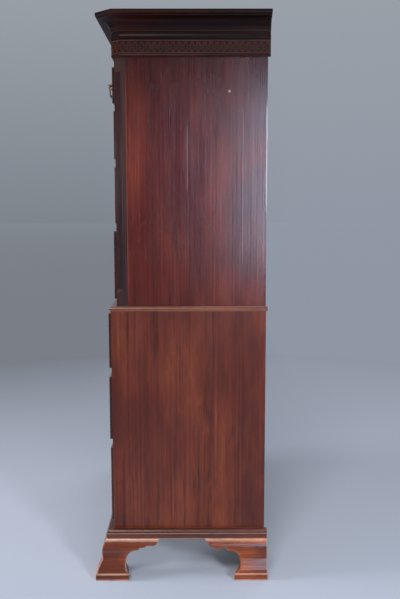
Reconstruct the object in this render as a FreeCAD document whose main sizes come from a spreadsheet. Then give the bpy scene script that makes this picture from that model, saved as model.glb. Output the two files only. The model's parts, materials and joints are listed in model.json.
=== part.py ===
"""Chest on chest: two mahogany cases of drawers, one standing on the other.

Millimetres.  X runs across the front, the front faces -Y and Z is up.  The origin is on the floor,
under the middle of the whole piece.  "Left" and "right" are those of someone facing the front.
"""
import FreeCAD, Part
import math
import os
from types import SimpleNamespace

import Sketcher

# ------------------------------------------------------------------------------------------------
# Driving dimensions: name, size and meaning.  Every other size is worked out from these.
# ------------------------------------------------------------------------------------------------
SIZES = (
    # the two cases
    ("lower_width", 1052, "lower case, over its side boards"),
    ("lower_depth", 517.5, "lower case, front face to back face"),
    ("side_step", 16, "how far the upper case stands back at each side"),
    ("front_step", 19, "how far the upper case stands back at the front"),
    ("board", 20, "thickness of the side, top and bottom boards"),
    ("housing", 6, "depth of the housings that hold rails, runners and boards"),
    ("back_board", 12, "thickness of the back boards"),
    ("back_rebate", 10, "width of the rebate that holds the back boards"),
    ("back_board_gap", 0.5, "shrinkage gap between two back boards"),
    ("foot_height", 135, "floor to the underside of the lower case"),
    # rails, runners and what lies between the drawers
    ("base_rail", 52, "height of the rail under the lowest drawer"),
    ("lower_rail", 29, "thickness of the rails between the lower drawers"),
    ("lower_top", 18, "thickness of the lower case's top board"),
    ("plinth_rail", 25.5, "height of the rail under the upper drawers"),
    ("upper_rail", 24, "thickness of the rails between the upper drawers"),
    ("rail_depth", 70, "rails, front to back"),
    ("runner", 20, "thickness of the drawer runners"),
    ("runner_width", 40, "width of a runner under the drawer's side"),
    ("guide_height", 15, "height of the strips that guide the upper drawers"),
    ("partition", 24, "thickness of the upright between the short drawers"),
    ("dustboard", 8, "thickness of the dustboards"),
    ("dustboard_tongue", 5, "how far a dustboard enters its groove"),
    ("dustboard_drop", 6, "from a rail's top down to the dustboard"),
    ("frieze_rail", 20, "thickness of the board behind the frieze"),
    ("frieze_height", 52, "ridge and frieze together"),
    ("cornice_height", 84.5, "cornice moulding"),
    # canted corner posts of the upper case
    ("post_width", 42, "corner post, across the front"),
    ("post_depth", 37.5, "corner post, front to back"),
    ("cant", 24, "how far the cant cuts into the corner, each way"),
    ("cant_foot", 47, "height of the square block left at the post's foot"),
    ("cant_stop", 15, "height of the stop where the cant dies into the block"),
    ("flute_radius", 2.3, "radius of a flute"),
    ("flute_pitch", 6.1, "flute to flute"),
    ("flute_start", 2, "plain cant between its stop and the flutes"),
    ("flute_head", 21, "plain cant between the flutes and the top rail"),
    # heights of the drawer fronts over their beads, and how far each stands out when shut
    ("short_height", 114.5, "two short drawers"),
    ("upper_high_height", 156.5, "first long drawer of the upper case"),
    ("upper_middle_height", 186, "second long drawer of the upper case"),
    ("upper_low_height", 228, "third long drawer of the upper case"),
    ("lower_high_height", 186.5, "first drawer of the lower case"),
    ("lower_middle_height", 217, "second drawer of the lower case"),
    ("lower_low_height", 256.5, "third drawer of the lower case"),
    ("short_stand", 5.4, "short drawers, face in front of the rails"),
    ("upper_high_stand", 2.1, "upper drawer 1, face in front of the rails"),
    ("upper_middle_stand", 1.6, "upper drawer 2, face in front of the rails"),
    ("upper_low_stand", 7, "upper drawer 3, face in front of the rails"),
    ("lower_high_stand", 6.2, "lower drawer 1, face in front of the rails"),
    ("lower_middle_stand", 7.2, "lower drawer 2, face in front of the rails"),
    ("lower_low_stand", 5.4, "lower drawer 3, face in front of the rails"),
    # drawers
    ("foot_gap", 0.5, "under a drawer front"),
    ("head_gap", 1.5, "over a drawer front"),
    ("end_gap", 1, "at each end of a drawer front"),
    ("runner_gap", 0.3, "between a drawer's side and its runner"),
    ("front_board", 22, "thickness of a drawer front"),
    ("bead_width", 4, "width of the cock bead round a front"),
    ("bead_reach", 4, "how far the cock bead stands out of the front"),
    ("bead_depth", 6, "how deep the cock bead lies in its rebate"),
    ("bead_round", 1.2, "chamfer that rounds the cock bead"),
    ("dovetail_lap", 7, "wood left in front of the tails, so that they don't show on the face"),
    ("dovetail_slope", 2.4, "how much wider a tail is at its tip, on each side"),
    ("lining", 10, "thickness of a drawer's oak sides and back"),
    ("side_drop", 7, "from a front's top down to the drawer's sides"),
    ("back_drop", 12, "from a drawer's sides down to its back"),
    ("bottom_board", 7, "thickness of a drawer's bottom"),
    ("bottom_raise", 8, "from a drawer's side's foot up to its bottom"),
    ("bottom_groove", 4, "depth of the groove that holds a drawer's bottom"),
    ("tail_gap", 26, "between a shut drawer and the back boards"),
    ("stop_height", 5, "drawer stop, above the rail"),
    ("stop_width", 34, "drawer stop, across the front"),
    ("stop_depth", 14, "drawer stop, front to back"),
    # handles and locks
    ("handle_rise", 8, "from the middle of a front up to its handle posts"),
    ("short_handle", 106, "short drawer's end to the middle of its handle"),
    ("handle_line", 240, "middle of the chest to the middle of a long drawer's handle"),
    ("post_span", 80, "between the two posts of a handle"),
    ("post_standoff", 17, "from a front to the bail's pins"),
    ("shank", 5, "side of a post's square shank"),
    ("shank_gap", 0.1, "room round a shank in the front"),
    ("rose_radius", 12.5, "radius of the rose at a post's foot"),
    ("rose_height", 2.6, "thickness of the rose at the post"),
    ("neck_radius", 3.1, "radius of a post's neck"),
    ("head_radius", 5, "radius of a post's head"),
    ("pin_radius", 1.6, "radius of the bail's pins"),
    ("pin_gap", 0.05, "running clearance round a pin"),
    ("pin_length", 8, "how far a pin enters its post"),
    ("bail_gap", 1.2, "between a post's head and the bail's shoulder"),
    ("neck_thickness", 5, "thickness of the bail at its necks"),
    ("grip_thickness", 7, "thickness of the bail at the middle of its grip"),
    ("bail_drop", 32, "from the pins down to the bail's grip"),
    ("lock_width", 64, "lock, across the front"),
    ("lock_height", 46, "lock, from the front's top edge down"),
    ("lock_depth", 10, "depth of the recess that holds the lock, flush with the front's back"),
    ("keyhole_width", 3.2, "width of the keyhole's slot"),
    ("keyhole_height", 11, "height of the keyhole"),
    ("keyhole_drop", 24, "from a front's top edge to the middle of its keyhole"),
    # feet
    ("toe_reach", 58.3, "pad in front of the lower case's faces"),
    ("back_reach", 8, "feet and mouldings behind the cases"),
    ("pad_height", 25, "pad under a foot"),
    ("pad_length", 110, "pad, along each side of the case"),
    ("bracket_length", 213, "foot bracket, from the toe to its tip"),
    ("bracket_inset", 12, "inner face of a bracket, behind the case's face"),
    ("bracket_neck", 94, "foot bracket's upright, from the toe to its inner edge"),
    ("bracket_flare", 16, "radius that spreads the upright onto its pad"),
    ("bracket_fillet", 27, "radius in the bracket's inner corner"),
    ("scroll_ledge", 14, "from the inner corner to the quarter round of the scroll"),
    ("scroll_round", 14, "radius of that quarter round"),
    ("scroll_notch", 14, "flat between the quarter round and the lobe"),
    ("scroll_drop", 24, "from a bracket's head down to that flat"),
    ("lobe_end", 6, "from the lobe to the bracket's tip"),
    ("lobe_drop", 14, "from a bracket's head down to the end of the lobe"),
    ("pad_lip", 4.3, "pad in front of the bracket's toe"),
    ("toe_round", 13, "height of the rounded toe over the pad"),
    ("shoulder_lip", 2, "bracket's shoulder in front of the base moulding"),
    ("foot_block", 20, "side of the block inside a foot"),
    ("back_bracket", 20, "thickness of the plain bracket behind a back foot"),
    ("back_bracket_length", 150, "length of that bracket"),
    # mouldings
    ("base_moulding_height", 30, "base moulding"),
    ("base_moulding_reach", 24, "base moulding, in front of the lower case"),
    ("base_ovolo", 8, "radius of the base moulding's ovolo"),
    ("base_quirk", 2.5, "step between the base moulding's fascia and its ovolo"),
    ("waist_lap", 9, "waist moulding, below the lower case's top"),
    ("waist_rise", 6, "waist moulding, above the lower case's top"),
    ("waist_reach", 4.5, "waist moulding, in front of the lower case"),
    ("waist_back_reach", 5, "waist moulding, behind the cases"),
    ("waist_gap", 0.3, "between the waist moulding and the upper case"),
    ("frieze_reach", 5.5, "frieze, in front of the upper case"),
    ("astragal_reach", 8.5, "astragal, in front of the upper case"),
    ("astragal_height", 9, "astragal"),
    ("cornice_reach", 56.5, "cornice, in front of the upper case"),
)

doc = FreeCAD.newDocument("chest_on_chest")
sheet = doc.addObject("Spreadsheet::Sheet", "Sizes")
for row, (alias, number, meaning) in enumerate(SIZES, start=1):
    sheet.set(f"A{row}", str(number))
    sheet.setAlias(f"A{row}", alias)
    sheet.set(f"B{row}", meaning)
doc.recompute()


class Length:
    """A length kept as the expression that gives it, so that every object stays bound to the sheet."""

    def __init__(self, text):
        self.text = text.text if isinstance(text, Length) else str(text)

    def __add__(self, other):
        return Length(f"({self.text} + {Length(other).text})")

    def __radd__(self, other):
        return Length(f"({Length(other).text} + {self.text})")

    def __sub__(self, other):
        return Length(f"({self.text} - {Length(other).text})")

    def __rsub__(self, other):
        return Length(f"({Length(other).text} - {self.text})")

    def __mul__(self, other):
        return Length(f"({self.text} * {Length(other).text})")

    def __rmul__(self, other):
        return Length(f"({Length(other).text} * {self.text})")

    def __truediv__(self, other):
        return Length(f"({self.text} / {Length(other).text})")

    def __neg__(self):
        return Length(f"(0 - {self.text})")

    def value(self):
        found = sheet.evalExpression(self.text)
        return float(getattr(found, "Value", found))


size = SimpleNamespace(**{alias: Length(f"Sizes.{alias}") for alias, number, meaning in SIZES})
places = doc.addObject("App::VarSet", "Places")


def place(name, length):
    """Keep a worked-out place or size under a name of its own, bound to the sheet."""
    places.addProperty("App::PropertyFloat", name, "Places")
    places.setExpression(name, length.text)
    places.recompute()
    return Length(f"Places.{name}")


def bind(item, **lengths):
    """Bind properties to lengths; a double underscore stands for a dot, as in Placement__Base__x."""
    for name, length in lengths.items():
        item.setExpression(name.replace("__", "."), Length(length).text)


def move(item, x=0, y=0, z=0):
    bind(item, Placement__Base__x=x, Placement__Base__y=y, Placement__Base__z=z)
    return item


def turned(item, degrees, x, y, z=0):
    """Turn a piece about its upright axis and bring it to its place."""
    item.Placement = FreeCAD.Placement(FreeCAD.Vector(), FreeCAD.Rotation(FreeCAD.Vector(0, 0, 1), degrees))
    return move(item, x, y, z)


def board(name, west, east, front, back, low, high):
    """A squared board between six faces."""
    item = doc.addObject("Part::Box", name)
    bind(item, Length=Length(east) - west, Width=Length(back) - front, Height=Length(high) - low)
    return move(item, west, front, low)


def cut(name, base, *tools):
    """The base without the tools: a housing, rebate or groove is cut by the piece that fills it."""
    tool = tools[0]
    if len(tools) > 1:
        tool = doc.addObject("Part::MultiFuse", f"{name}_tools")
        tool.Shapes = list(tools)
    item = doc.addObject("Part::Cut", name)
    item.Base = base
    item.Tool = tool
    return item


def mirrored(name, source):
    """The same piece on the other side of the middle."""
    item = doc.addObject("Part::Mirroring", name)
    item.Source = source
    item.Normal = FreeCAD.Vector(1, 0, 0)
    return item


def both_sides(name, right):
    return [right, mirrored(f"{name}_left", right)]


def origin_plane(body, role):
    return next(item for item in body.Origin.OriginFeatures if item.Role == role)


def arc_middle(start, end, radius):
    """The middle of the short arc from start to end; a positive radius turns to the left."""
    chord = end - start
    left = FreeCAD.Vector(-chord.y, chord.x, 0) / chord.Length
    sagitta = abs(radius) - math.sqrt(max(radius * radius - chord.Length ** 2 / 4, 0))
    return (start + end) / 2 - left * math.copysign(sagitta, radius)


def outline(body, role, corners, level=0):
    """A closed sketch on one of the body's planes, every corner bound to the sheet.

    A corner is (x, y), or (x, y, radius) where the edge that leads to it is an arc; a positive
    radius turns to the left and a negative one to the right.
    """
    sketch = body.newObject("Sketcher::SketchObject", f"{body.Name}_outline")
    sketch.AttachmentSupport = [(origin_plane(body, role), "")]
    sketch.MapMode = "FlatFace"
    bind(sketch, AttachmentOffset__Base__z=level)
    spots = [FreeCAD.Vector(Length(c[0]).value(), Length(c[1]).value(), 0) for c in corners]
    edges = []
    for number, start in enumerate(spots):
        after = (number + 1) % len(spots)
        end = spots[after]
        if len(corners[after]) == 3:
            middle = arc_middle(start, end, Length(corners[after][2]).value())
            edges.append(Part.Arc(start, middle, end))
        else:
            edges.append(Part.LineSegment(start, end))
    sketch.addGeometry(edges, False)
    rules = []
    bindings = {}
    for number, start in enumerate(spots):
        after = (number + 1) % len(spots)
        head = 1 if sketch.getPoint(number, 1).isEqual(start, 1e-6) else 2
        next_head = 1 if sketch.getPoint(after, 1).isEqual(spots[after], 1e-6) else 2
        rules.append(Sketcher.Constraint("Coincident", number, 3 - head, after, next_head))
        for kind, distance, length in (("DistanceX", start.x, 0), ("DistanceY", start.y, 1)):
            bindings[len(rules)] = Length(corners[number][length]).text
            rules.append(Sketcher.Constraint(kind, -1, 1, number, head, distance))
        if len(corners[after]) == 3:
            bindings[len(rules)] = f"abs({Length(corners[after][2]).text})"
            radius = abs(Length(corners[after][2]).value())
            rules.append(Sketcher.Constraint("Radius", number, radius))
    sketch.addConstraint(rules)
    for number, text in bindings.items():
        sketch.setExpression(f"Constraints[{number}]", text)
    return sketch


def pad(body, sketch, length):
    feature = body.newObject("PartDesign::Pad", f"{body.Name}_pad")
    feature.Profile = sketch
    bind(feature, Length=length)
    return feature


def pocket_through(body, sketch, reach):
    """Cut the sketch right through, to both sides of its plane."""
    feature = body.newObject("PartDesign::Pocket", f"{body.Name}_pocket")
    feature.Profile = sketch
    feature.SideType = "Symmetric"
    bind(feature, Length=2 * Length(reach))
    return feature


def new_body(name):
    return doc.addObject("PartDesign::Body", name)


CLEAR = 1          # how far a cutting shape stands out of the wood that it cuts
nodes = {}


def node(name, *items):
    """Hand in one sub-part; several like pieces make one node of separate solids."""
    item = items[0]
    if len(items) > 1:
        item = doc.addObject("Part::Compound", f"{name}_pieces")
        item.Links = list(items)
    item.Label = name
    nodes[name] = item


# ------------------------------------------------------------------------------------------------
# Places worked out from the driving dimensions
# ------------------------------------------------------------------------------------------------
overall_depth = place("overall_depth", size.toe_reach + size.lower_depth + size.back_reach)
lower_front = place("lower_front", size.toe_reach - overall_depth / 2)
case_back = place("case_back", lower_front + size.lower_depth)
upper_front = place("upper_front", lower_front + size.front_step)
lower_half = place("lower_half", size.lower_width / 2)
upper_half = place("upper_half", lower_half - size.side_step)
lower_inner = place("lower_inner", lower_half - size.board)
upper_inner = place("upper_inner", upper_half - size.board)
opening_half = place("opening_half", upper_half - size.post_width)
boards_front = place("boards_front", case_back - size.back_board)
drawer_tail = place("drawer_tail", boards_front - size.tail_gap)
front_clearance = size.foot_gap + size.head_gap

# tops of the rails, from the floor up
lower_low_floor = place("lower_low_floor", size.foot_height + size.base_rail)
lower_low_ceiling = place("lower_low_ceiling", lower_low_floor + size.lower_low_height + front_clearance)
lower_middle_floor = place("lower_middle_floor", lower_low_ceiling + size.lower_rail)
lower_middle_ceiling = place(
    "lower_middle_ceiling", lower_middle_floor + size.lower_middle_height + front_clearance)
lower_high_floor = place("lower_high_floor", lower_middle_ceiling + size.lower_rail)
lower_high_ceiling = place("lower_high_ceiling", lower_high_floor + size.lower_high_height + front_clearance)
lower_case_top = place("lower_case_top", lower_high_ceiling + size.lower_top)
upper_low_floor = place("upper_low_floor", lower_case_top + size.plinth_rail)
upper_low_ceiling = place("upper_low_ceiling", upper_low_floor + size.upper_low_height + front_clearance)
upper_middle_floor = place("upper_middle_floor", upper_low_ceiling + size.upper_rail)
upper_middle_ceiling = place(
    "upper_middle_ceiling", upper_middle_floor + size.upper_middle_height + front_clearance)
upper_high_floor = place("upper_high_floor", upper_middle_ceiling + size.upper_rail)
upper_high_ceiling = place("upper_high_ceiling", upper_high_floor + size.upper_high_height + front_clearance)
short_floor = place("short_floor", upper_high_ceiling + size.upper_rail)
short_ceiling = place("short_ceiling", short_floor + size.short_height + front_clearance)
frieze_foot = place("frieze_foot", short_ceiling + size.upper_rail)
cornice_foot = place("cornice_foot", frieze_foot + size.frieze_height)
chest_top = place("chest_top", cornice_foot + size.cornice_height)

# ------------------------------------------------------------------------------------------------
# Dividers: a rail in front, runners behind it and a dustboard tongued between them
# ------------------------------------------------------------------------------------------------


def divider(name, floor, thickness, front, rail_half, runner_inner, runner_outer, dust_halves):
    """One level between two tiers: rail, runners and dustboards, all level with the floor."""
    back_of_rail = front + size.rail_depth
    dust_high = floor - size.dustboard_drop
    dust_low = dust_high - size.dustboard
    dustboards = [
        board(f"{name}_dustboard", west, east, back_of_rail - size.dustboard_tongue,
              boards_front, dust_low, dust_high)
        for west, east in dust_halves
    ]
    rail = cut(f"{name}_rail", board(f"{name}_rail_board", -rail_half, rail_half, front, back_of_rail,
                                     floor - thickness, floor), *dustboards)
    runner = board(f"{name}_runner_strip", runner_inner, runner_outer, back_of_rail, boards_front,
                   floor - size.runner, floor)
    right = cut(f"{name}_runner", runner, dustboards[-1])
    return SimpleNamespace(rail=rail, runners=both_sides(f"{name}_runner", right), dustboards=dustboards,
                           seats=[board(f"{name}_rail_seat", -rail_half, rail_half, front, back_of_rail,
                                        floor - thickness, floor),
                                  runner])


def stops(name, floor, front_plane, middles):
    """Small blocks glued to a rail, which a shut drawer front touches."""
    back_of_front = front_plane + size.front_board
    return [board(f"{name}_stop", middle - size.stop_width / 2, middle + size.stop_width / 2,
                  back_of_front, back_of_front + size.stop_depth, floor, floor + size.stop_height)
            for middle in middles]


# ------------------------------------------------------------------------------------------------
# Lower case
# ------------------------------------------------------------------------------------------------
lower_housed = lower_inner + size.housing
lower_runner_inner = lower_inner - size.runner_width
lower_dust = [(-lower_runner_inner - size.dustboard_tongue, lower_runner_inner + size.dustboard_tongue)]
lower_levels = [
    divider("lower_low_divider", lower_middle_floor, size.lower_rail, lower_front, lower_housed,
            lower_runner_inner, lower_housed, lower_dust),
    divider("lower_high_divider", lower_high_floor, size.lower_rail, lower_front, lower_housed,
            lower_runner_inner, lower_housed, lower_dust),
]
base_rail = board("base_rail", -lower_housed, lower_housed, lower_front, lower_front + size.board,
                  size.foot_height, lower_low_floor)
lower_bottom = board("lower_bottom", -lower_housed, lower_housed, lower_front + size.board, boards_front,
                     lower_low_floor - size.board, lower_low_floor)
lower_top = board("lower_top", -lower_housed, lower_housed, lower_front, boards_front,
                  lower_high_ceiling, lower_case_top)
lower_rebate = board("lower_rebate", lower_inner, lower_inner + size.back_rebate, boards_front, case_back,
                     size.foot_height, lower_case_top)
lower_side = cut("lower_side",
                 board("lower_side_board", lower_inner, lower_half, lower_front, case_back,
                       size.foot_height, lower_case_top),
                 lower_rebate, base_rail, lower_bottom, lower_top,
                 *[seat for level in lower_levels for seat in level.seats])


def back_boards(name, half, low, high, count):
    """Upright back boards, side by side in the rebates of the case's sides."""
    span = place(f"{name}_board", (2 * half + size.back_board_gap) / count)
    return [board(f"{name}_board_{number + 1}", -half + number * span,
                  -half + (number + 1) * span - size.back_board_gap, boards_front, case_back, low, high)
            for number in range(count)]


BACK_BOARD_COUNT = 4
node("lower_sides", *both_sides("lower_side", lower_side))
node("lower_bottom_board", lower_bottom)
node("lower_top_board", lower_top)
node("lower_back_boards", *back_boards("lower_back", lower_inner + size.back_rebate, size.foot_height,
                                       lower_case_top, BACK_BOARD_COUNT))
node("lower_rails", base_rail, *[level.rail for level in lower_levels])

# ------------------------------------------------------------------------------------------------
# Upper case
# ------------------------------------------------------------------------------------------------
upper_housed = upper_inner + size.housing
rail_half = opening_half + size.housing
upper_runner_inner = opening_half - size.runner_width
middle_half = size.partition / 2 + size.runner_width
upper_dust = [(-upper_runner_inner - size.dustboard_tongue, upper_runner_inner + size.dustboard_tongue)]
short_dust = [(-upper_runner_inner - size.dustboard_tongue, size.dustboard_tongue - middle_half),
              (middle_half - size.dustboard_tongue, upper_runner_inner + size.dustboard_tongue)]
short_level = divider("short_divider", short_floor, size.upper_rail, upper_front, rail_half,
                      upper_runner_inner, upper_housed, short_dust)
upper_levels = [
    divider("upper_low_divider", upper_middle_floor, size.upper_rail, upper_front, rail_half,
            upper_runner_inner, upper_housed, upper_dust),
    divider("upper_middle_divider", upper_high_floor, size.upper_rail, upper_front, rail_half,
            upper_runner_inner, upper_housed, upper_dust),
    short_level,
]
back_of_upper_rails = upper_front + size.rail_depth
top_board_foot = chest_top - size.board
plinth_rail = board("plinth_rail", -rail_half, rail_half, upper_front, back_of_upper_rails,
                    lower_case_top, upper_low_floor)
top_rail = board("top_rail", -rail_half, rail_half, upper_front, back_of_upper_rails,
                 short_ceiling, frieze_foot)
frieze_rail = board("frieze_rail", -rail_half, rail_half, upper_front, upper_front + size.frieze_rail,
                    frieze_foot, top_board_foot)
partition = board("partition", -size.partition / 2, size.partition / 2, upper_front, back_of_upper_rails,
                  short_floor, short_ceiling)
middle_runner = cut("middle_runner",
                    board("middle_runner_strip", -middle_half, middle_half, back_of_upper_rails,
                          boards_front, short_floor - size.runner, short_floor),
                    *short_level.dustboards)
middle_guide = board("middle_guide", -size.partition / 2, size.partition / 2, back_of_upper_rails,
                     boards_front, short_floor, short_floor + size.guide_height)
upper_bottom = board("upper_bottom", -upper_housed, upper_housed, back_of_upper_rails, boards_front,
                     upper_low_floor - size.board, upper_low_floor)
kicker = board("kicker", upper_runner_inner, upper_housed, back_of_upper_rails, boards_front,
               short_ceiling, short_ceiling + size.runner)
guides = [board("guide", opening_half, upper_inner, back_of_upper_rails, boards_front,
                floor, floor + size.guide_height)
          for floor in (upper_low_floor, upper_middle_floor, upper_high_floor, short_floor)]


FLUTE_COUNT = 5
FLUTE_FACETS = 8
HALF_SQUARE_TURN = 45
cant_level = lower_case_top + size.cant_foot + size.cant_stop


def corner_post():
    """The right corner post: square at the foot, then canted up to the top board."""
    body = new_body("corner_post_wood")
    edge = upper_half - size.cant
    back = upper_front + size.post_depth
    cant_back = upper_front + size.cant
    blank = outline(body, "XY_Plane", [(opening_half, upper_front), (upper_half, upper_front),
                                       (upper_half, back), (opening_half, back)], lower_case_top)
    pad(body, blank, top_board_foot - lower_case_top)
    waste = outline(body, "XY_Plane", [(edge - CLEAR, upper_front - CLEAR),
                                       (upper_half + CLEAR, upper_front - CLEAR),
                                       (upper_half + CLEAR, cant_back + CLEAR)], cant_level)
    feature = body.newObject("PartDesign::Pocket", "cant_pocket")
    feature.Profile = waste
    feature.Reversed = True
    bind(feature, Length=chest_top - lower_case_top)
    return body


def stop_waste():
    """What is sawn off where the cant slopes out onto the square block at the post's foot."""
    body = new_body("cant_stop_waste")
    out = size.cant / math.sqrt(2)
    level = lower_case_top + size.cant_foot
    side = outline(body, "YZ_Plane", [(0, cant_level), (-out, level), (-out - CLEAR, level),
                                      (-out - CLEAR, cant_level)])
    pad(body, side, size.cant * math.sqrt(2))
    return turned(body, HALF_SQUARE_TURN, upper_half - size.cant, upper_front)


def flutes():
    """Upright flutes in the cant, each planed with a few flat facets."""
    low = cant_level + size.flute_start
    high = frieze_foot - size.upper_rail - size.flute_head
    pieces = []
    for number in range(FLUTE_COUNT):
        along = (number - (FLUTE_COUNT - 1) / 2) * size.flute_pitch / math.sqrt(2)
        flute = doc.addObject("Part::Prism", "flute")
        flute.Polygon = FLUTE_FACETS
        bind(flute, Circumradius=size.flute_radius, Height=high - low)
        pieces.append(turned(flute, HALF_SQUARE_TURN, upper_half - size.cant / 2 + along,
                             upper_front + size.cant / 2 + along, low))
    return pieces


upper_rail_seats = [seat for level in upper_levels for seat in level.seats]
post = cut("corner_post", corner_post(), stop_waste(), plinth_rail, top_rail, frieze_rail, *flutes(),
           *upper_rail_seats)
upper_rebate = board("upper_rebate", upper_inner, upper_inner + size.back_rebate, boards_front, case_back,
                     lower_case_top, chest_top)
upper_side = cut("upper_side",
                 board("upper_side_board", upper_inner, upper_half, upper_front + size.post_depth,
                       case_back, lower_case_top, chest_top),
                 upper_rebate, upper_bottom, kicker, *upper_rail_seats)


def top_board():
    """The top board lies between the sides and over the posts, with the corners canted."""
    body = new_body("top_board")
    post_back = upper_front + size.post_depth
    cant_back = upper_front + size.cant
    front_half = upper_half - size.cant
    right = [(front_half, upper_front), (upper_half, cant_back), (upper_half, post_back),
             (upper_inner, post_back), (upper_inner, boards_front)]
    left = [(-x, y) for x, y in reversed(right)]
    pad(body, outline(body, "XY_Plane", right + left, top_board_foot), size.board)
    return body


node("upper_sides", *both_sides("upper_side", upper_side))
node("upper_corner_posts", *both_sides("corner_post", post))
node("upper_bottom_board", upper_bottom)
node("upper_top_board", top_board())
node("upper_back_boards", *back_boards("upper_back", upper_inner + size.back_rebate, lower_case_top,
                                       chest_top, BACK_BOARD_COUNT))
node("upper_rails", plinth_rail, top_rail, frieze_rail, partition, *[level.rail for level in upper_levels])

# ------------------------------------------------------------------------------------------------
# Mouldings: each length is a board with mitred ends, with the waste planed away
# ------------------------------------------------------------------------------------------------
HALF_RIGHT_ANGLE = 1.0
HALF_CANT_TURN = math.tan(math.radians(22.5))
SQUARE_END = 0.0


def moulding(name, length, profile, reach, inner, low, high, start_turn, end_turn):
    """One length along local X, its face towards local -Y, mitred where it meets the next length.

    The profile runs from the foot to the head as (reach, height) corners.  A mitre moves the end
    out by the reach times the tangent of half the turn.
    """
    body = new_body(name)
    plan = outline(body, "XY_Plane", [(-start_turn * Length(reach), -Length(reach)),
                                      (length + end_turn * Length(reach), -Length(reach)),
                                      (length - end_turn * Length(inner), Length(inner)),
                                      (start_turn * Length(inner), Length(inner))], low)
    pad(body, plan, Length(high) - low)
    beyond = Length(reach) + CLEAR
    waste = [(-Length(corner[0]),) + tuple(corner[1:]) for corner in profile]
    waste.append((-beyond, Length(high) + CLEAR))
    waste.append((-beyond, Length(low) - CLEAR))
    pocket_through(body, outline(body, "YZ_Plane", waste), length + 2 * beyond)
    return body


def three_sides(name, front, half, back, profile, reach, side_inner, front_inner, low, high):
    """Front and side lengths of a moulding round a square-cornered case."""
    front_run = moulding(f"{name}_front", 2 * half, profile, reach, front_inner, low, high,
                         HALF_RIGHT_ANGLE, HALF_RIGHT_ANGLE)
    turned(front_run, 0, -half, front)
    side_run = moulding(f"{name}_side", back - front, profile, reach, side_inner, low, high,
                        HALF_RIGHT_ANGLE, SQUARE_END)
    turned(side_run, 90, half, front)
    return [front_run, *both_sides(f"{name}_side", side_run)]


def five_sides(name, profile, reach, low, high):
    """Front, canted and side lengths of a moulding round the upper case."""
    edge = upper_half - size.cant
    cant_back = upper_front + size.cant
    slope = size.cant * math.sqrt(2)
    front_run = moulding(f"{name}_front", 2 * edge, profile, reach, 0, low, high,
                         HALF_CANT_TURN, HALF_CANT_TURN)
    turned(front_run, 0, -edge, upper_front)
    cant_run = moulding(f"{name}_cant", slope, profile, reach, 0, low, high,
                        HALF_CANT_TURN, HALF_CANT_TURN)
    turned(cant_run, HALF_SQUARE_TURN, edge, upper_front)
    side_run = moulding(f"{name}_side", case_back + size.back_reach - cant_back, profile, reach, 0,
                        low, high, HALF_CANT_TURN, SQUARE_END)
    turned(side_run, 90, upper_half, cant_back)
    return [front_run, *both_sides(f"{name}_cant", cant_run), *both_sides(f"{name}_side", side_run)]


def base_profile():
    """A flat fascia, a small step and an ovolo under a flat top."""
    reach = size.base_moulding_reach
    foot = size.foot_height
    head = foot + size.base_moulding_height
    ovolo = size.base_ovolo
    face = reach - size.base_quirk
    fascia_head = head - ovolo - size.base_quirk
    return [(reach, foot - CLEAR), (reach, fascia_head), (face, fascia_head), (face, head - ovolo),
            (face - ovolo, head, -ovolo), (face - ovolo, head + CLEAR)]


def waist_profile():
    """A flat ledge round the upper case, a quirk and an ovolo that dies into the lower case."""
    reach = size.waist_reach
    foot = lower_case_top - size.waist_lap
    head = lower_case_top + size.waist_rise
    return [(reach - 2.5, foot - CLEAR), (reach - 2.5, foot + 1.5), (reach, foot + 3.5), (reach, foot + 7),
            (reach - 3.5, head - 2.5, -5), (reach - 6, head - 2.5), (reach - 6, head + CLEAR)]


def frieze_profile():
    """A low ridge, hollow above and below, under a flat fascia."""
    flat = size.frieze_reach
    foot = frieze_foot
    middle = size.astragal_height / 2
    roundness = middle * 1.02
    return [(flat, foot - CLEAR), (flat, foot), (size.astragal_reach, foot + middle, roundness),
            (flat, foot + size.astragal_height, roundness), (flat, cornice_foot + CLEAR)]


def cornice_profile():
    """Hollow, quirk, fillet and a wide swelling member under a square fillet."""
    reach = size.cornice_reach
    flat = size.frieze_reach
    foot = cornice_foot
    return [(flat, foot - CLEAR), (flat, foot + 1), (flat, foot + 19, 17.5), (flat - 1, foot + 19),
            (flat - 1, foot + 25), (flat + 3, foot + 26.5), (flat + 3, foot + 33), (flat + 5, foot + 35),
            (reach - 8, foot + 68, -68), (reach - 8, foot + 70), (reach - 4.5, foot + 71.5),
            (reach, foot + 74), (reach, chest_top + CLEAR)]


base_head = size.foot_height + size.base_moulding_height
node("base_moulding", *three_sides("base_moulding", lower_front, lower_half, case_back + size.back_reach,
                                   base_profile(), size.base_moulding_reach, 0, 0,
                                   size.foot_height, base_head))


def waist_moulding():
    """The moulding laps the lower case's edge and leaves a recess for the upper case."""
    foot = lower_case_top - size.waist_lap
    head = lower_case_top + size.waist_rise
    lengths = three_sides("waist_moulding", lower_front, lower_half, case_back + size.waist_back_reach,
                          waist_profile(), size.waist_reach, size.side_step - size.waist_gap,
                          size.front_step - size.waist_gap, foot, head)
    core = board("waist_core", -lower_half, lower_half, lower_front, case_back + size.back_reach,
                 foot - CLEAR, lower_case_top)
    return [cut(f"{item.Name}_rebated", item, core) for item in lengths]


node("waist_moulding", *waist_moulding())
node("frieze", *five_sides("frieze", frieze_profile(), size.astragal_reach, frieze_foot, cornice_foot))
node("cornice", *five_sides("cornice", cornice_profile(), size.cornice_reach, cornice_foot, chest_top))

# ------------------------------------------------------------------------------------------------
# Feet: ogee brackets with a scrolled foot, on pads, round a corner block
# ------------------------------------------------------------------------------------------------
toe_front = lower_front - size.toe_reach
toe_side = lower_half + size.toe_reach
toe_back = case_back + size.back_reach
bracket_inner = lower_half - size.bracket_inset
bracket_waste = toe_side + CLEAR
LOBE_FULLNESS = 0.68       # radius of the lobe as a share of its width


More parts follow.
